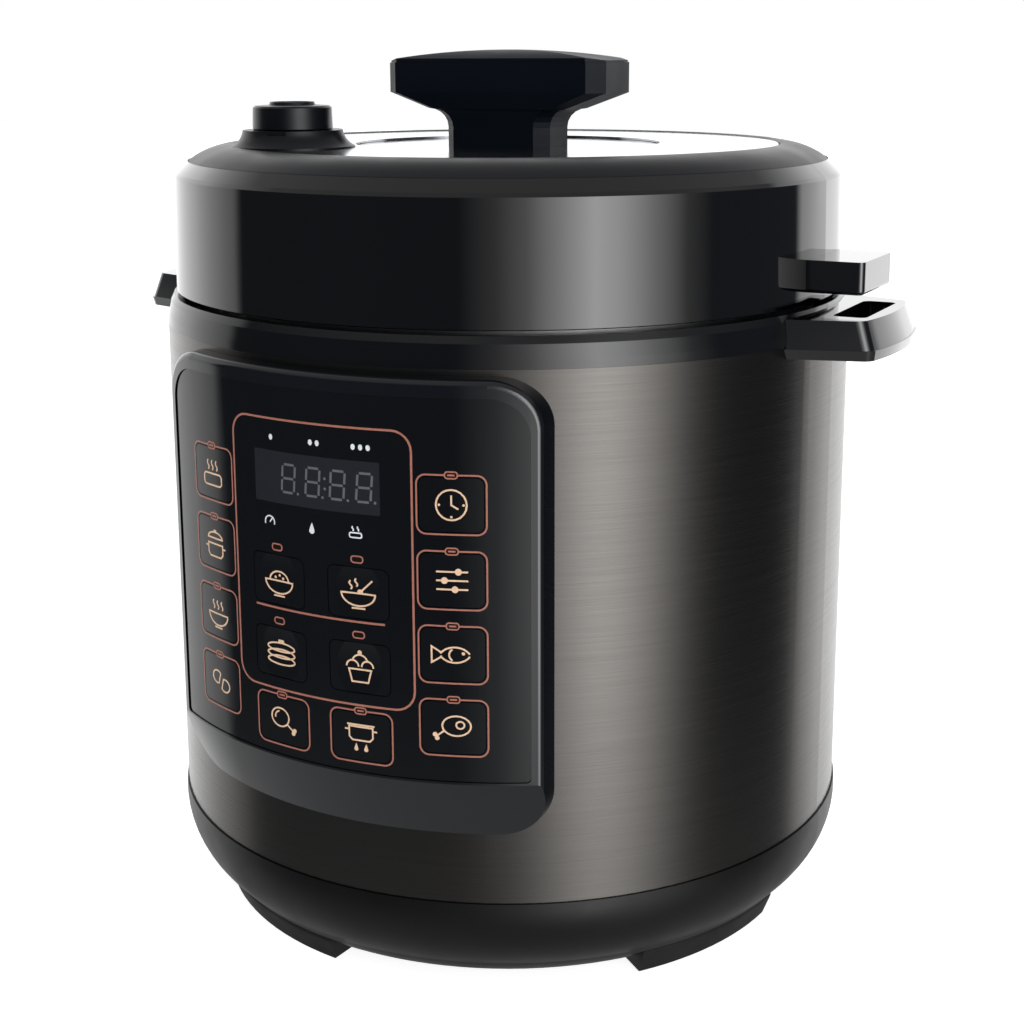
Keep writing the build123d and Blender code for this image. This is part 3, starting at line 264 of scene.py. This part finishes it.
class Finish:
    """A procedural material: a principled shader and the textures that feed it."""

    def __init__(self, name, color, roughness, metallic=0.0, specular=0.5, coat=0.0):
        self.material = bpy.data.materials.new(name)
        self.material.use_nodes = True
        self.nodes = self.material.node_tree.nodes
        self.links = self.material.node_tree.links
        self.shader = self.nodes["Principled BSDF"]
        self.color = color
        self.roughness = roughness
        self.shader.inputs["Base Color"].default_value = color
        self.shader.inputs["Roughness"].default_value = roughness
        self.shader.inputs["Metallic"].default_value = metallic
        self.shader.inputs["Specular IOR Level"].default_value = specular
        self.shader.inputs["Coat Weight"].default_value = coat
        self.shader.inputs["Coat Roughness"].default_value = COAT_ROUGHNESS

    def node(self, kind, **values):
        made = self.nodes.new(kind)
        for key, value in values.items():
            setattr(made, key, value)
        return made

    def math(self, operation, a, b):
        made = self.node("ShaderNodeMath", operation=operation)
        for socket, value in zip(made.inputs, (a, b)):
            if isinstance(value, (int, float)):
                socket.default_value = value
            else:
                self.links.new(value, socket)
        return made.outputs[0]

    def place(self):
        return self.node("ShaderNodeTexCoord").outputs["Object"]

    def round_place(self, along, across):
        """Coordinates round the vertical axis: along is per radian, and across is per metre."""
        split = self.node("ShaderNodeSeparateXYZ")
        self.links.new(self.place(), split.inputs[0])
        angle = self.math("ARCTAN2", split.outputs["Y"], split.outputs["X"])
        radius = self.math("SQRT", self.square_sum(split.outputs["X"], split.outputs["Y"]), 0.0)
        join = self.node("ShaderNodeCombineXYZ")
        self.links.new(self.math("MULTIPLY", angle, along), join.inputs["X"])
        self.links.new(self.math("MULTIPLY", split.outputs["Z"], across), join.inputs["Y"])
        self.links.new(self.math("MULTIPLY", radius, across), join.inputs["Z"])
        return join.outputs[0]

    def square_sum(self, a, b):
        return self.math("ADD", self.math("MULTIPLY", a, a), self.math("MULTIPLY", b, b))

    def noise(self, place, scale, detail=3.0):
        made = self.node("ShaderNodeTexNoise")
        made.inputs["Scale"].default_value = scale
        made.inputs["Detail"].default_value = detail
        self.links.new(place, made.inputs["Vector"])
        return made.outputs["Fac"]

    def spread(self, field, low=0.0, high=1.0):
        """A field whose usual range is stretched to run from low to high."""
        made = self.node("ShaderNodeMapRange")
        for socket, value in zip(("From Min", "From Max"), NOISE_RANGE):
            made.inputs[socket].default_value = value
        made.inputs["To Min"].default_value = low
        made.inputs["To Max"].default_value = high
        self.links.new(field, made.inputs["Value"])
        return made.outputs["Result"]

    def vary_roughness(self, field, amount):
        low = max(self.roughness - amount, SMOOTHEST)
        varied = self.spread(field, low, self.roughness + amount)
        self.links.new(varied, self.shader.inputs["Roughness"])

    def vary_color(self, field, other):
        mix = self.node("ShaderNodeMix", data_type="RGBA")
        mix.inputs["A"].default_value = self.color
        mix.inputs["B"].default_value = other
        self.links.new(self.spread(field), mix.inputs["Factor"])
        self.links.new(mix.outputs["Result"], self.shader.inputs["Base Color"])

    def bump(self, field, strength, distance):
        bump = self.node("ShaderNodeBump")
        bump.inputs["Strength"].default_value = strength
        bump.inputs["Distance"].default_value = distance
        self.links.new(field, bump.inputs["Height"])
        self.links.new(bump.outputs["Normal"], self.shader.inputs["Normal"])
        return self


def moulded(name, color, roughness, specular=0.5):
    """Plastic with a fine moulded grain and faint uneven polish."""
    finish = Finish(name, color, roughness, specular=specular)
    place = finish.place()
    finish.vary_roughness(finish.noise(place, scale=45.0), amount=roughness * 0.12)
    finish.vary_color(finish.noise(place, scale=14.0), scaled(color, 1.25))
    grain = finish.noise(place, scale=2600.0, detail=2.0)
    return finish.bump(grain, strength=0.25, distance=GRAIN)


def polished(name, color, roughness, specular=0.5, coat=0.0):
    """High-gloss plastic: a slow ripple in the skin and slightly uneven polish."""
    finish = Finish(name, color, roughness, specular=specular, coat=coat)
    place = finish.place()
    finish.vary_roughness(finish.noise(place, scale=30.0, detail=5.0), amount=roughness * 0.3)
    ripple = finish.noise(place, scale=22.0, detail=1.0)
    return finish.bump(ripple, strength=0.08, distance=RIPPLE)


def brushed(name, color, roughness, along, across, contrast):
    """Metal with fine lines that run round the vertical axis."""
    finish = Finish(name, color, roughness, metallic=1.0)
    lines = finish.noise(finish.round_place(along, across), scale=1.0, detail=4.0)
    streak_place = finish.round_place(along * STREAK_ALONG, across * STREAK_ACROSS)
    streaks = finish.noise(streak_place, scale=1.0, detail=3.0)
    finish.vary_color(streaks, scaled(color, 1 - contrast))
    finish.vary_roughness(lines, amount=0.04)
    return finish.bump(lines, strength=0.06, distance=GRAIN)


def rubbery(name, color):
    """Matt rubber with a coarse grain."""
    finish = Finish(name, color, 0.7, specular=0.3)
    place = finish.place()
    finish.vary_roughness(finish.noise(place, scale=90.0), amount=0.08)
    return finish.bump(finish.noise(place, scale=1500.0), strength=0.3, distance=COARSE_GRAIN)


def plated(name, color, roughness):
    """Bright metal with a faint grain and uneven polish."""
    finish = Finish(name, color, roughness, metallic=1.0)
    place = finish.place()
    finish.vary_roughness(finish.noise(place, scale=120.0), amount=roughness * 0.3)
    return finish.bump(finish.noise(place, scale=900.0), strength=0.08, distance=GRAIN)


def speckled(name, color, fleck, roughness):
    """Coating with scattered pale flecks."""
    finish = Finish(name, color, roughness)
    cells = finish.node("ShaderNodeTexVoronoi")
    cells.inputs["Scale"].default_value = FLECK_SCALE
    finish.links.new(finish.place(), cells.inputs["Vector"])
    spots = finish.math("LESS_THAN", cells.outputs["Distance"], FLECK_REACH)
    finish.vary_color(finish.math("MULTIPLY", spots, FLECK_COVER), fleck)
    return finish.bump(finish.noise(finish.place(), scale=1800.0), strength=0.2, distance=GRAIN)


def circuit(name, color):
    """Board with tracks under its green mask."""
    finish = Finish(name, color, 0.35)
    bricks = finish.node("ShaderNodeTexBrick")
    bricks.inputs["Scale"].default_value = TRACK_SCALE
    bricks.inputs["Color1"].default_value = color
    bricks.inputs["Color2"].default_value = scaled(color, 1.6)
    bricks.inputs["Mortar"].default_value = scaled(color, 0.5)
    finish.links.new(finish.place(), bricks.inputs["Vector"])
    finish.links.new(bricks.outputs["Color"], finish.shader.inputs["Base Color"])
    return finish


FINISHES = {
    "base_black": moulded("base_black", linear(14, 14, 15), 0.4, specular=0.25),
    "foot_rubber": rubbery("foot_rubber", linear(22, 22, 22)),
    "screw_steel": plated("screw_steel", linear(190, 190, 190), 0.28),
    "shell_steel": brushed("shell_steel", linear(78, 76, 74), 0.25, 5.0, 5200.0, 0.07),
    "collar_black": polished("collar_black", linear(13, 14, 17), 0.1),
    "handle_gloss": polished("handle_gloss", linear(10, 10, 13), 0.09, specular=0.6, coat=0.5),
    "pot_aluminium": brushed("pot_aluminium", linear(215, 215, 215), 0.32, 8.0, 1800.0, 0.12),
    "terminal_steel": plated("terminal_steel", linear(205, 205, 200), 0.25),
    "fuse_metal": plated("fuse_metal", linear(200, 200, 195), 0.3),
    "sensor_metal": plated("sensor_metal", linear(215, 215, 212), 0.22),
    "spring_steel": plated("spring_steel", linear(190, 190, 190), 0.25),
    "board_green": circuit("board_green", linear(24, 96, 48)),
    "component_black": moulded("component_black", linear(36, 36, 40), 0.4),
    "inlet_black": moulded("inlet_black", linear(24, 24, 26), 0.38),
    "pin_brass": plated("pin_brass", linear(216, 190, 120), 0.22),
    "wire_insulation": rubbery("wire_insulation", linear(150, 28, 24)),
    "ribbon_grey": moulded("ribbon_grey", linear(160, 160, 165), 0.45),
    "bezel_black": polished("bezel_black", linear(12, 15, 20), 0.1, coat=0.3),
    "lens_black": polished("lens_black", linear(12, 14, 17), 0.07),
    "key_black": polished("key_black", linear(13, 15, 18), 0.12),
    "carrier_grey": moulded("carrier_grey", linear(58, 58, 62), 0.5),
    "membrane_film": moulded("membrane_film", linear(140, 140, 135), 0.4),
    "display_dark": polished("display_dark", linear(30, 30, 32), 0.1),
    "pot_nonstick": speckled("pot_nonstick", linear(46, 46, 49), linear(150, 150, 152), 0.34),
    "seal_silicone": rubbery("seal_silicone", linear(222, 224, 224)),
    "lid_steel": brushed("lid_steel", linear(205, 205, 205), 0.22, 6.0, 1500.0, 0.1),
    "skirt_gloss": polished("skirt_gloss", linear(9, 9, 12), 0.05, coat=0.3),
    "ring_satin": moulded("ring_satin", linear(20, 21, 25), 0.36, specular=0.25),
    "plate_silver": brushed("plate_silver", linear(172, 173, 178), 0.12, 6.0, 2400.0, 0.05),
    "grip_black": moulded("grip_black", linear(15, 21, 28), 0.45, specular=0.12),
    "weight_steel": plated("weight_steel", linear(190, 190, 190), 0.2),
    "valve_black": moulded("valve_black", linear(12, 15, 20), 0.32, specular=0.3),
}


def dress_nodes():
    """Gives every CAD node the finish of its slot."""
    for part in frame["record"]["subparts"]:
        node = frame["nodes"][part["node"]]
        finish = FINISHES[part["material_slot"]].material
        for material_slot in node.material_slots:
            material_slot.material = finish


def seat_spring():
    """Gives the sensor's spring a mesh of its own."""
    spring = frame["nodes"]["sensor_spring"]
    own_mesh(spring)


dress_nodes()
seat_spring()


# ---------------------------------------------------------------- inks
def printed(name, color, roughness):
    """Ink with slightly uneven cover."""
    finish = Finish(name, color, roughness)
    finish.vary_color(finish.noise(finish.place(), scale=700.0), scaled(color, 0.82))
    return finish.material


INKS = {
    "copper": printed("ink_copper", linear(160, 100, 84), 0.45),
    "gold": printed("ink_gold", linear(220, 184, 152), 0.4),
    "white": printed("ink_white", linear(215, 220, 226), 0.4),
    "ghost": printed("ink_ghost", linear(92, 94, 98), 0.3),
    "smoke": polished("ink_smoke", linear(34, 36, 40), 0.09).material,
    "dark": printed("ink_dark", linear(26, 16, 14), 0.2),
}


# ---------------------------------------------------------------- printing on the curved panel
# Printed shapes are drawn in millimetres: u runs round the lens to the right, v is up.
LENS_R = -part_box("panel_lens")[0][1] / MM
SHELL_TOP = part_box("outer_shell")[1][2] / MM
INK_RAISE = 0.04
INK_SINK = 0.06
STEP = 1.2
TINY = 1e-9
MITRE_LIMIT = 0.5
DISH_SPHERE_R = 110.0
DISH_DEPTH = 0.6
DISHED = ("key_rice", "key_porridge", "key_pancakes", "key_dessert")


def on_lens(u, v, radius):
    angle = u / LENS_R
    return Vector((radius * math.sin(angle) * MM, -radius * math.cos(angle) * MM, v * MM))


def flat_face(u, v):
    return LENS_R


def dished_face(centre_u, centre_v):
    """Radius of the hollowed face of a key, round a centre on the lens."""
    def face(u, v):
        reach = (u - centre_u) ** 2 + (v - centre_v) ** 2
        hollow = LENS_R + DISH_SPHERE_R - DISH_DEPTH - math.sqrt(DISH_SPHERE_R**2 - reach)
        return min(hollow + (u - centre_u) ** 2 / (2 * LENS_R), LENS_R)
    return face


def fine(points, closed):
    """The same line with points no further apart than STEP, to follow the curve of the lens."""
    ends = points[1:] + (points[:1] if closed else [])
    out = []
    for (u0, v0), (u1, v1) in zip(points, ends):
        count = max(1, math.ceil(math.hypot(u1 - u0, v1 - v0) / STEP))
        out += [(u0 + (u1 - u0) * i / count, v0 + (v1 - v0) * i / count) for i in range(count)]
    return out if closed else out + [points[-1]]


class Print:
    """One printed piece, made of closed strips and patches that stand just proud of a face."""

    def __init__(self, name, ink, body, face=flat_face, raise_by=INK_RAISE):
        self.name, self.ink, self.body = name, ink, body
        self.face, self.raise_by = face, raise_by
        self.verts, self.faces = [], []

    def point(self, u, v, top):
        radius = self.face(u, v) + (self.raise_by if top else -INK_SINK)
        self.verts.append(on_lens(u, v, radius))
        return len(self.verts) - 1

    def section(self, left, right):
        """The four corners of a strip, cut across between two places."""
        ends = ((left, True), (right, True), (right, False), (left, False))
        return [self.point(*place, top) for place, top in ends]

    def line(self, points, width, closed=False):
        """A stroke of even width with mitred corners."""
        points = fine([tuple(p) for p in points], closed)
        count = len(points)
        rows = []
        for i, (u, v) in enumerate(points):
            before = points[i - 1] if closed or i > 0 else points[0]
            after = points[(i + 1) % count] if closed or i < count - 1 else points[-1]
            first = Vector((u - before[0], v - before[1]))
            second = Vector((after[0] - u, after[1] - v))
            first = first.normalized() if first.length > TINY else second.normalized()
            second = second.normalized() if second.length > TINY else first
            along = (first + second).normalized()
            side = Vector((-along.y, along.x))
            mitre = width / 2 / max(along.dot(second), MITRE_LIMIT)
            left = (u + side.x * mitre, v + side.y * mitre)
            right = (u - side.x * mitre, v - side.y * mitre)
            rows.append(self.section(left, right))
        pairs = list(zip(rows, rows[1:] + (rows[:1] if closed else [])))
        for near, far in pairs[: None if closed else count - 1]:
            for k in range(4):
                j = (k + 1) % 4
                self.faces.append((near[k], far[k], far[j], near[j]))
        if not closed:
            self.faces.append(tuple(rows[0]))
            self.faces.append(tuple(reversed(rows[-1])))
        return self

    def patch(self, points):
        """A filled outline."""
        points = fine([tuple(p) for p in points], True)
        top = [self.point(u, v, True) for u, v in points]
        low = [self.point(u, v, False) for u, v in points]
        for tri in tessellate_polygon([[Vector((u, v, 0)) for u, v in points]]):
            self.faces.append(tuple(top[i] for i in tri))
            self.faces.append(tuple(low[i] for i in reversed(tri)))
        for i in range(len(points)):
            j = (i + 1) % len(points)
            self.faces.append((top[i], low[i], low[j], top[j]))
        return self

    def bands(self, u0, u1, v0, v1):
        """A wide filled rectangle, in strips that follow the curve."""
        count = math.ceil((u1 - u0) / STEP)
        edges = [u0 + (u1 - u0) * i / count for i in range(count + 1)]
        rows = [self.section((u, v1), (u, v0)) for u in edges]
        for near, far in zip(rows, rows[1:]):
            for k in range(4):
                self.faces.append((near[k], far[k], far[(k + 1) % 4], near[(k + 1) % 4]))
        self.faces.append(tuple(rows[0]))
        self.faces.append(tuple(reversed(rows[-1])))
        return self

    def make(self):
        mesh = bpy.data.meshes.new(self.name)
        mesh.from_pydata(self.verts, [], self.faces)
        mesh.validate()
        mesh.materials.append(INKS[self.ink])
        piece = bpy.data.objects.new(self.name, mesh)
        bpy.context.collection.objects.link(piece)
        tidy_normals(mesh)
        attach(piece, self.body)


def tidy_normals(mesh):
    """Turns every face outwards."""
    shape = bmesh.new()
    shape.from_mesh(mesh)
    bmesh.ops.recalc_face_normals(shape, faces=shape.faces)
    shape.to_mesh(mesh)
    shape.free()


# ---------------------------------------------------------------- outlines to draw with
ARC_STEPS = 14
OVAL_STEPS = 20
CORNER_STEPS = 6
WAVE_STEPS = 10
STEAM_PLACES = (-2.2, 0.0, 2.2)
BOWL_FOOT_GAP = 0.7
BOWL_FOOT_SHARE = 0.4
POT_CHAMFER = 1.0
POT_EAR = 1.4
POT_EAR_DROP = 1.0
KNUCKLE_R = 0.7


def arc(centre, radius, start, end, count=ARC_STEPS, squash=1.0):
    """Points on an arc, in degrees, flattened in height by squash."""
    x, y = centre
    angles = [math.radians(start + (end - start) * i / count) for i in range(count + 1)]
    return [(x + radius * math.cos(a), y + radius * squash * math.sin(a)) for a in angles]


def oval(centre, radius, squash=1.0):
    return arc(centre, radius, 0, 360, OVAL_STEPS, squash)[:-1]


def rounded(centre, width, height, corner):
    """Outline of a rectangle with round corners."""
    right, top = width / 2 - corner, height / 2 - corner
    points = []
    for turn, (sx, sy) in enumerate(((1, 1), (-1, 1), (-1, -1), (1, -1))):
        middle = (centre[0] + sx * right, centre[1] + sy * top)
        points += arc(middle, corner, 90 * turn, 90 * turn + 90, CORNER_STEPS)
    return points


def wave(x, y, height, width=0.8):
    """A rising wisp of steam."""
    shares = [i / WAVE_STEPS for i in range(WAVE_STEPS + 1)]
    return [(x + width / 2 * math.sin(math.pi * 2 * t), y + height * t) for t in shares]


def shifted(shape, u, v, size=1.0):
    """A drawing's strokes and patches, moved to a place on the lens."""
    out = []
    for kind, points, closed in shape:
        moved = [(u + x * size, v + y * size) for x, y in points]
        out.append((kind, moved, closed))
    return out


def stroke(points, closed=False):
    return ("stroke", points, closed)


def solid(points):
    return ("solid", points, True)


def steam(y, height):
    return [stroke(wave(x, y, height)) for x in STEAM_PLACES]


def bowl(y, radius, squash=0.75):
    foot_y = y - radius * squash - BOWL_FOOT_GAP
    half_foot = radius * BOWL_FOOT_SHARE
    side = stroke(arc((0, y), radius, 180, 360, 16, squash), True)
    return [side, stroke([(-half_foot, foot_y), (half_foot, foot_y)])]


def pot(y, width, height):
    half = width / 2
    left = [(-half, y + height), (-half, y + POT_CHAMFER), (-half + POT_CHAMFER, y)]
    body = left + [(-x, level) for x, level in reversed(left)]
    ear_y = y + height - POT_EAR_DROP
    ears = [stroke([(s * half, ear_y), (s * (half + POT_EAR), ear_y)]) for s in (-1, 1)]
    return [stroke(body, True)] + ears


def flame(x, y, size):
    round_end = arc((x, y), size * 0.55, 180, 360, 10)
    tip = [(0.35, 0.7), (0.05, 1.5), (-0.3, 0.75)]
    return solid(round_end + [(x + size * a, y + size * b) for a, b in tip])


def dots(radius, *places):
    return [solid(oval(place, radius)) for place in places]


def drumstick(bone, *knuckles):
    return [stroke(bone)] + dots(KNUCKLE_R, *knuckles)


PICTURES = {
    "key_rice": [
        *bowl(-0.4, 5.2),
        stroke(arc((0, -0.4), 3.6, 0, 180, 14, 0.8)),
        *dots(0.42, (-1.4, 0.6), (0.2, 1.3), (1.5, 0.5)),
    ],
    "key_porridge": [
        *bowl(-0.2, 5.4, 0.7),
        stroke([(1.2, 0.8), (4.6, 4.0)]),
        solid(oval((0.6, 0.4), 0.9, 0.7)),
        stroke(wave(-2.4, 0.9, 2.6)),
        stroke(wave(-0.6, 1.8, 2.4)),
    ],
    "key_pancakes": [
        *[stroke(oval((0, y), 5.2, 0.26), True) for y in (-2.4, -0.4, 1.6)],
        solid(rounded((0, 3.4), 2.2, 1.2, 0.3)),
    ],
    "key_dessert": [
        stroke([(-3.6, -0.6), (-2.6, -4.4), (2.6, -4.4), (3.6, -0.6)], True),
        *[stroke(arc((x, 0.2), 1.9, 0, 180)) for x in (-2.4, 2.4)],
        stroke(arc((0, 1.4), 2.5, 10, 170)),
        solid(oval((0, 4.6), 0.7)),
    ],
    "key_timer": [
        stroke(oval((0, 0), 4.4), True),
        stroke([(0, 2.8), (0, 0), (2.0, -1.2)]),
        *dots(0.36, (0, -3.5), (3.5, 0), (-3.5, 0)),
    ],
    "key_taste": [
        *[stroke([(-4.6, y), (4.6, y)]) for y in (2.6, 0, -2.6)],
        *dots(1.0, (1.8, 2.6), (-2.2, 0), (0.8, -2.6)),
    ],
    "key_fish": [
        stroke(arc((0.6, -1.6), 4.9, 30, 150, 14, 0.8)),
        stroke(arc((0.6, 1.6), 4.9, 210, 330, 14, 0.8)),
        stroke([(-3.6, 0.8), (-6.2, 2.4), (-6.2, -2.4), (-3.6, -0.8)]),
        solid(oval((3.0, 0.5), 0.5)),
        stroke(arc((0.8, 0), 1.9, 120, 240)),
    ],
    "key_meat": [
        stroke(oval((0.8, 0.6), 4.2, 0.72), True),
        stroke(oval((1.9, 0.9), 1.2, 0.9), True),
        *drumstick([(-2.9, -1.0), (-5.2, -2.8)], (-5.5, -2.2), (-4.9, -3.3)),
    ],
    "key_keep_warm": [stroke(rounded((0, -2.0), 9.2, 3.6, 1.2), True), *steam(0.9, 3.0)],
    "key_open_lid": [
        *pot(-4.2, 7.6, 4.0),
        stroke(arc((0, 1.6), 3.8, 0, 180, 14, 0.5), True),
        stroke([(-0.7, 4.0), (0.7, 4.0)]),
    ],
    "key_soup": [*bowl(-0.4, 5.0), *steam(1.0, 2.8)],
    "key_beans": [
        stroke(arc((-1.9, 0.9), 2.4, 40, 290, 16, 0.85), True),
        stroke(arc((2.2, -1.2), 2.4, 220, 470, 16, 0.85), True),
    ],
    "key_poultry": [
        stroke(oval((-1.0, 0.8), 3.4, 0.86), True),
        *drumstick([(1.6, -1.0), (4.0, -2.8)], (4.5, -2.5), (4.0, -3.4)),
        stroke(arc((-1.0, 0.8), 1.9, 100, 190)),
    ],
    "key_broth": [
        *pot(-1.2, 7.6, 4.2),
        stroke([(-4.4, 3.6), (4.4, 3.6)]),
        flame(-1.6, -3.9, 1.2),
        flame(1.6, -3.9, 1.2),
    ],
}

# Status marks: a row of level marks and a row of pictures, measured down from the shell's top.
LEVEL_ROW = -26.6
PICTURE_ROW = -56.6
LEVEL_MARK = (0.8, 1.3)
GAUGE = [stroke(arc((0, -0.8), 2.2, -20, 200)), stroke([(0, -0.8), (1.2, 0.7)])]
STEAMING_DISH = [
    stroke(rounded((0, -1.0), 4.6, 1.7, 0.6), True),
    *[stroke(wave(x, 0.5, 1.6, 0.5)) for x in (-1.0, 1.0)],
]
STATUS = (
    (-18.0, LEVEL_ROW, [solid(oval((0, 0), *LEVEL_MARK))]),
    (0.6, LEVEL_ROW, [solid(oval((x, 0), *LEVEL_MARK)) for x in (-1.4, 1.4)]),
    (18.8, LEVEL_ROW, [solid(oval((x, 0), *LEVEL_MARK)) for x in (-2.8, 0, 2.8)]),
    (-19.6, PICTURE_ROW, GAUGE),
    (-1.0, PICTURE_ROW, [flame(0, -1.4, 2.0)]),
    (16.3, PICTURE_ROW, STEAMING_DISH),
)

# ---------------------------------------------------------------- the panel
PICTURE_SIZE = 1.2
KEY_WIDTH = 22.2
DISHED_KEY_WIDTH = 23.0
KEY_FLANGE = 1.0
KEY_STROKE = 0.62
OUTLINE_GAP = 0.9
OUTLINE_CORNER = 3.2
OUTLINE_STROKE = 0.6
LAMP_SIZE = (4.4, 2.3)
LAMP_CORNER = 1.0
LAMP_STROKE = 0.5
LAMP_RAISE = 0.05
LAMP_RIM_RAISE = 0.07
LAMP_ABOVE_DISHED = 3.0
# Left, right, low and high edges. Heights on the panel are measured down from the shell's top.
FRAME_BOX = (-37.0, 37.0, -119.2, -20.0)
FRAME_CORNER = 7.0
FRAME_STROKE = 0.75
DIVIDER_ENDS = (-27.6, 26.6)
DIVIDER_V = -88.7
WINDOW_BOX = (-26.0, 25.6, -50.0, -31.4)
WINDOW_RAISE = 0.02
DIGIT_PLACES = (-10.5, -0.2, 9.7, 19.9)
DIGIT_V = -40.6
DIGIT_SIZE = (5.4, 10.0)
DIGIT_GAP = 0.55
DIGIT_SLANT = 0.08
DIGIT_STROKE = 0.85
DIGIT_RAISE = 0.05
POINT_R = 0.5
POINT_BESIDE = 1.3
COLON_REACH = 1.8
MARK_STROKE = 0.5


def key_place(key):
    """Where a key's middle lies on the lens, from its joint's axis and its box."""
    joint = next(j for j in frame["joints"] if j["child"] == key)
    axis = joint["axis"]
    low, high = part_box(key)
    return math.atan2(-axis[0], axis[1]) * LENS_R, (low[2] + high[2]) / 2 / MM


def key_size(key):
    """Width and height of a key's top, without its hidden flange."""
    low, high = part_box(key)
    width = DISHED_KEY_WIDTH if key in DISHED else KEY_WIDTH
    return width, (high[2] - low[2]) / MM - 2 * KEY_FLANGE


def draw(piece, shape, width):
    for kind, points, closed in shape:
        if kind == "solid":
            piece.patch(points)
        else:
            piece.line(points, width, closed)


def make_key_pictures():
    for key, shape in PICTURES.items():
        u, v = key_place(key)
        face = dished_face(u, v) if key in DISHED else flat_face
        piece = Print("picture_" + key.removeprefix("key_"), "gold", key, face)
        draw(piece, shifted(shape, u, v, PICTURE_SIZE), KEY_STROKE)
        piece.make()


def make_key_outlines():
    """Copper outline round each plain key, and a small lamp window at the top of every key."""
    for key in PICTURES:
        label = key.removeprefix("key_")
        u, v = key_place(key)
        width, height = key_size(key)
        top = v + height / 2
        if key in DISHED:
            lamp_v = top + LAMP_ABOVE_DISHED
        else:
            lamp_v = top + OUTLINE_GAP
            size = (width + 2 * OUTLINE_GAP, height + 2 * OUTLINE_GAP)
            outline = Print("outline_" + label, "copper", "housing")
            outline.line(rounded((u, v), *size, OUTLINE_CORNER), OUTLINE_STROKE, True)
            outline.make()
        lamp = rounded((u, lamp_v), *LAMP_SIZE, LAMP_CORNER)
        window = Print("lamp_window_" + label, "dark", "housing", raise_by=LAMP_RAISE)
        window.patch(lamp).make()
        rim = Print("lamp_rim_" + label, "copper", "housing", raise_by=LAMP_RIM_RAISE)
        rim.line(lamp, LAMP_STROKE, True).make()


def make_panel_frame():
    """Copper line round the display and the dished keys, and one across under the first two."""
    left, right, low, high = FRAME_BOX
    middle = ((left + right) / 2, SHELL_TOP + (low + high) / 2)
    rim = Print("panel_frame_line", "copper", "housing")
    rim.line(rounded(middle, right - left, high - low, FRAME_CORNER), FRAME_STROKE, True)
    rim.line([(u, SHELL_TOP + DIVIDER_V) for u in DIVIDER_ENDS], FRAME_STROKE)
    rim.make()


def digit(middle_u, middle_v):
    """The seven bars of a digit, and its point."""
    w, h = DIGIT_SIZE[0] / 2, DIGIT_SIZE[1] / 2
    bars = [[(-w + DIGIT_GAP, y), (w - DIGIT_GAP, y)] for y in (-h, 0, h)]
    bars += [[(x, y + DIGIT_GAP), (x, y + h - DIGIT_GAP)] for x in (-w, w) for y in (-h, 0)]
    shape = [stroke([(x + y * DIGIT_SLANT, y) for x, y in bar]) for bar in bars]
    shape.append(solid(oval((w + POINT_BESIDE, -h), POINT_R)))
    return shifted(shape, middle_u, middle_v)


def make_display():
    """The dark window with its four unlit digits and a colon, and the status marks round it."""
    u0, u1, v0, v1 = WINDOW_BOX
    window = Print("display_window", "smoke", "housing", raise_by=WINDOW_RAISE)
    window.bands(u0, u1, SHELL_TOP + v0, SHELL_TOP + v1).make()
    digits = Print("display_digits", "ghost", "housing", raise_by=DIGIT_RAISE)
    for u in DIGIT_PLACES:
        draw(digits, digit(u, SHELL_TOP + DIGIT_V), DIGIT_STROKE)
    middle = (DIGIT_PLACES[1] + DIGIT_PLACES[2]) / 2
    for y in (-COLON_REACH, COLON_REACH):
        digits.patch(oval((middle, SHELL_TOP + DIGIT_V + y), POINT_R))
    digits.make()
    marks = Print("status_marks", "white", "housing")
    for u, v, shape in STATUS:
        draw(marks, shifted(shape, u, SHELL_TOP + v), MARK_STROKE)
    marks.make()


make_key_pictures()
make_key_outlines()
make_panel_frame()
make_display()
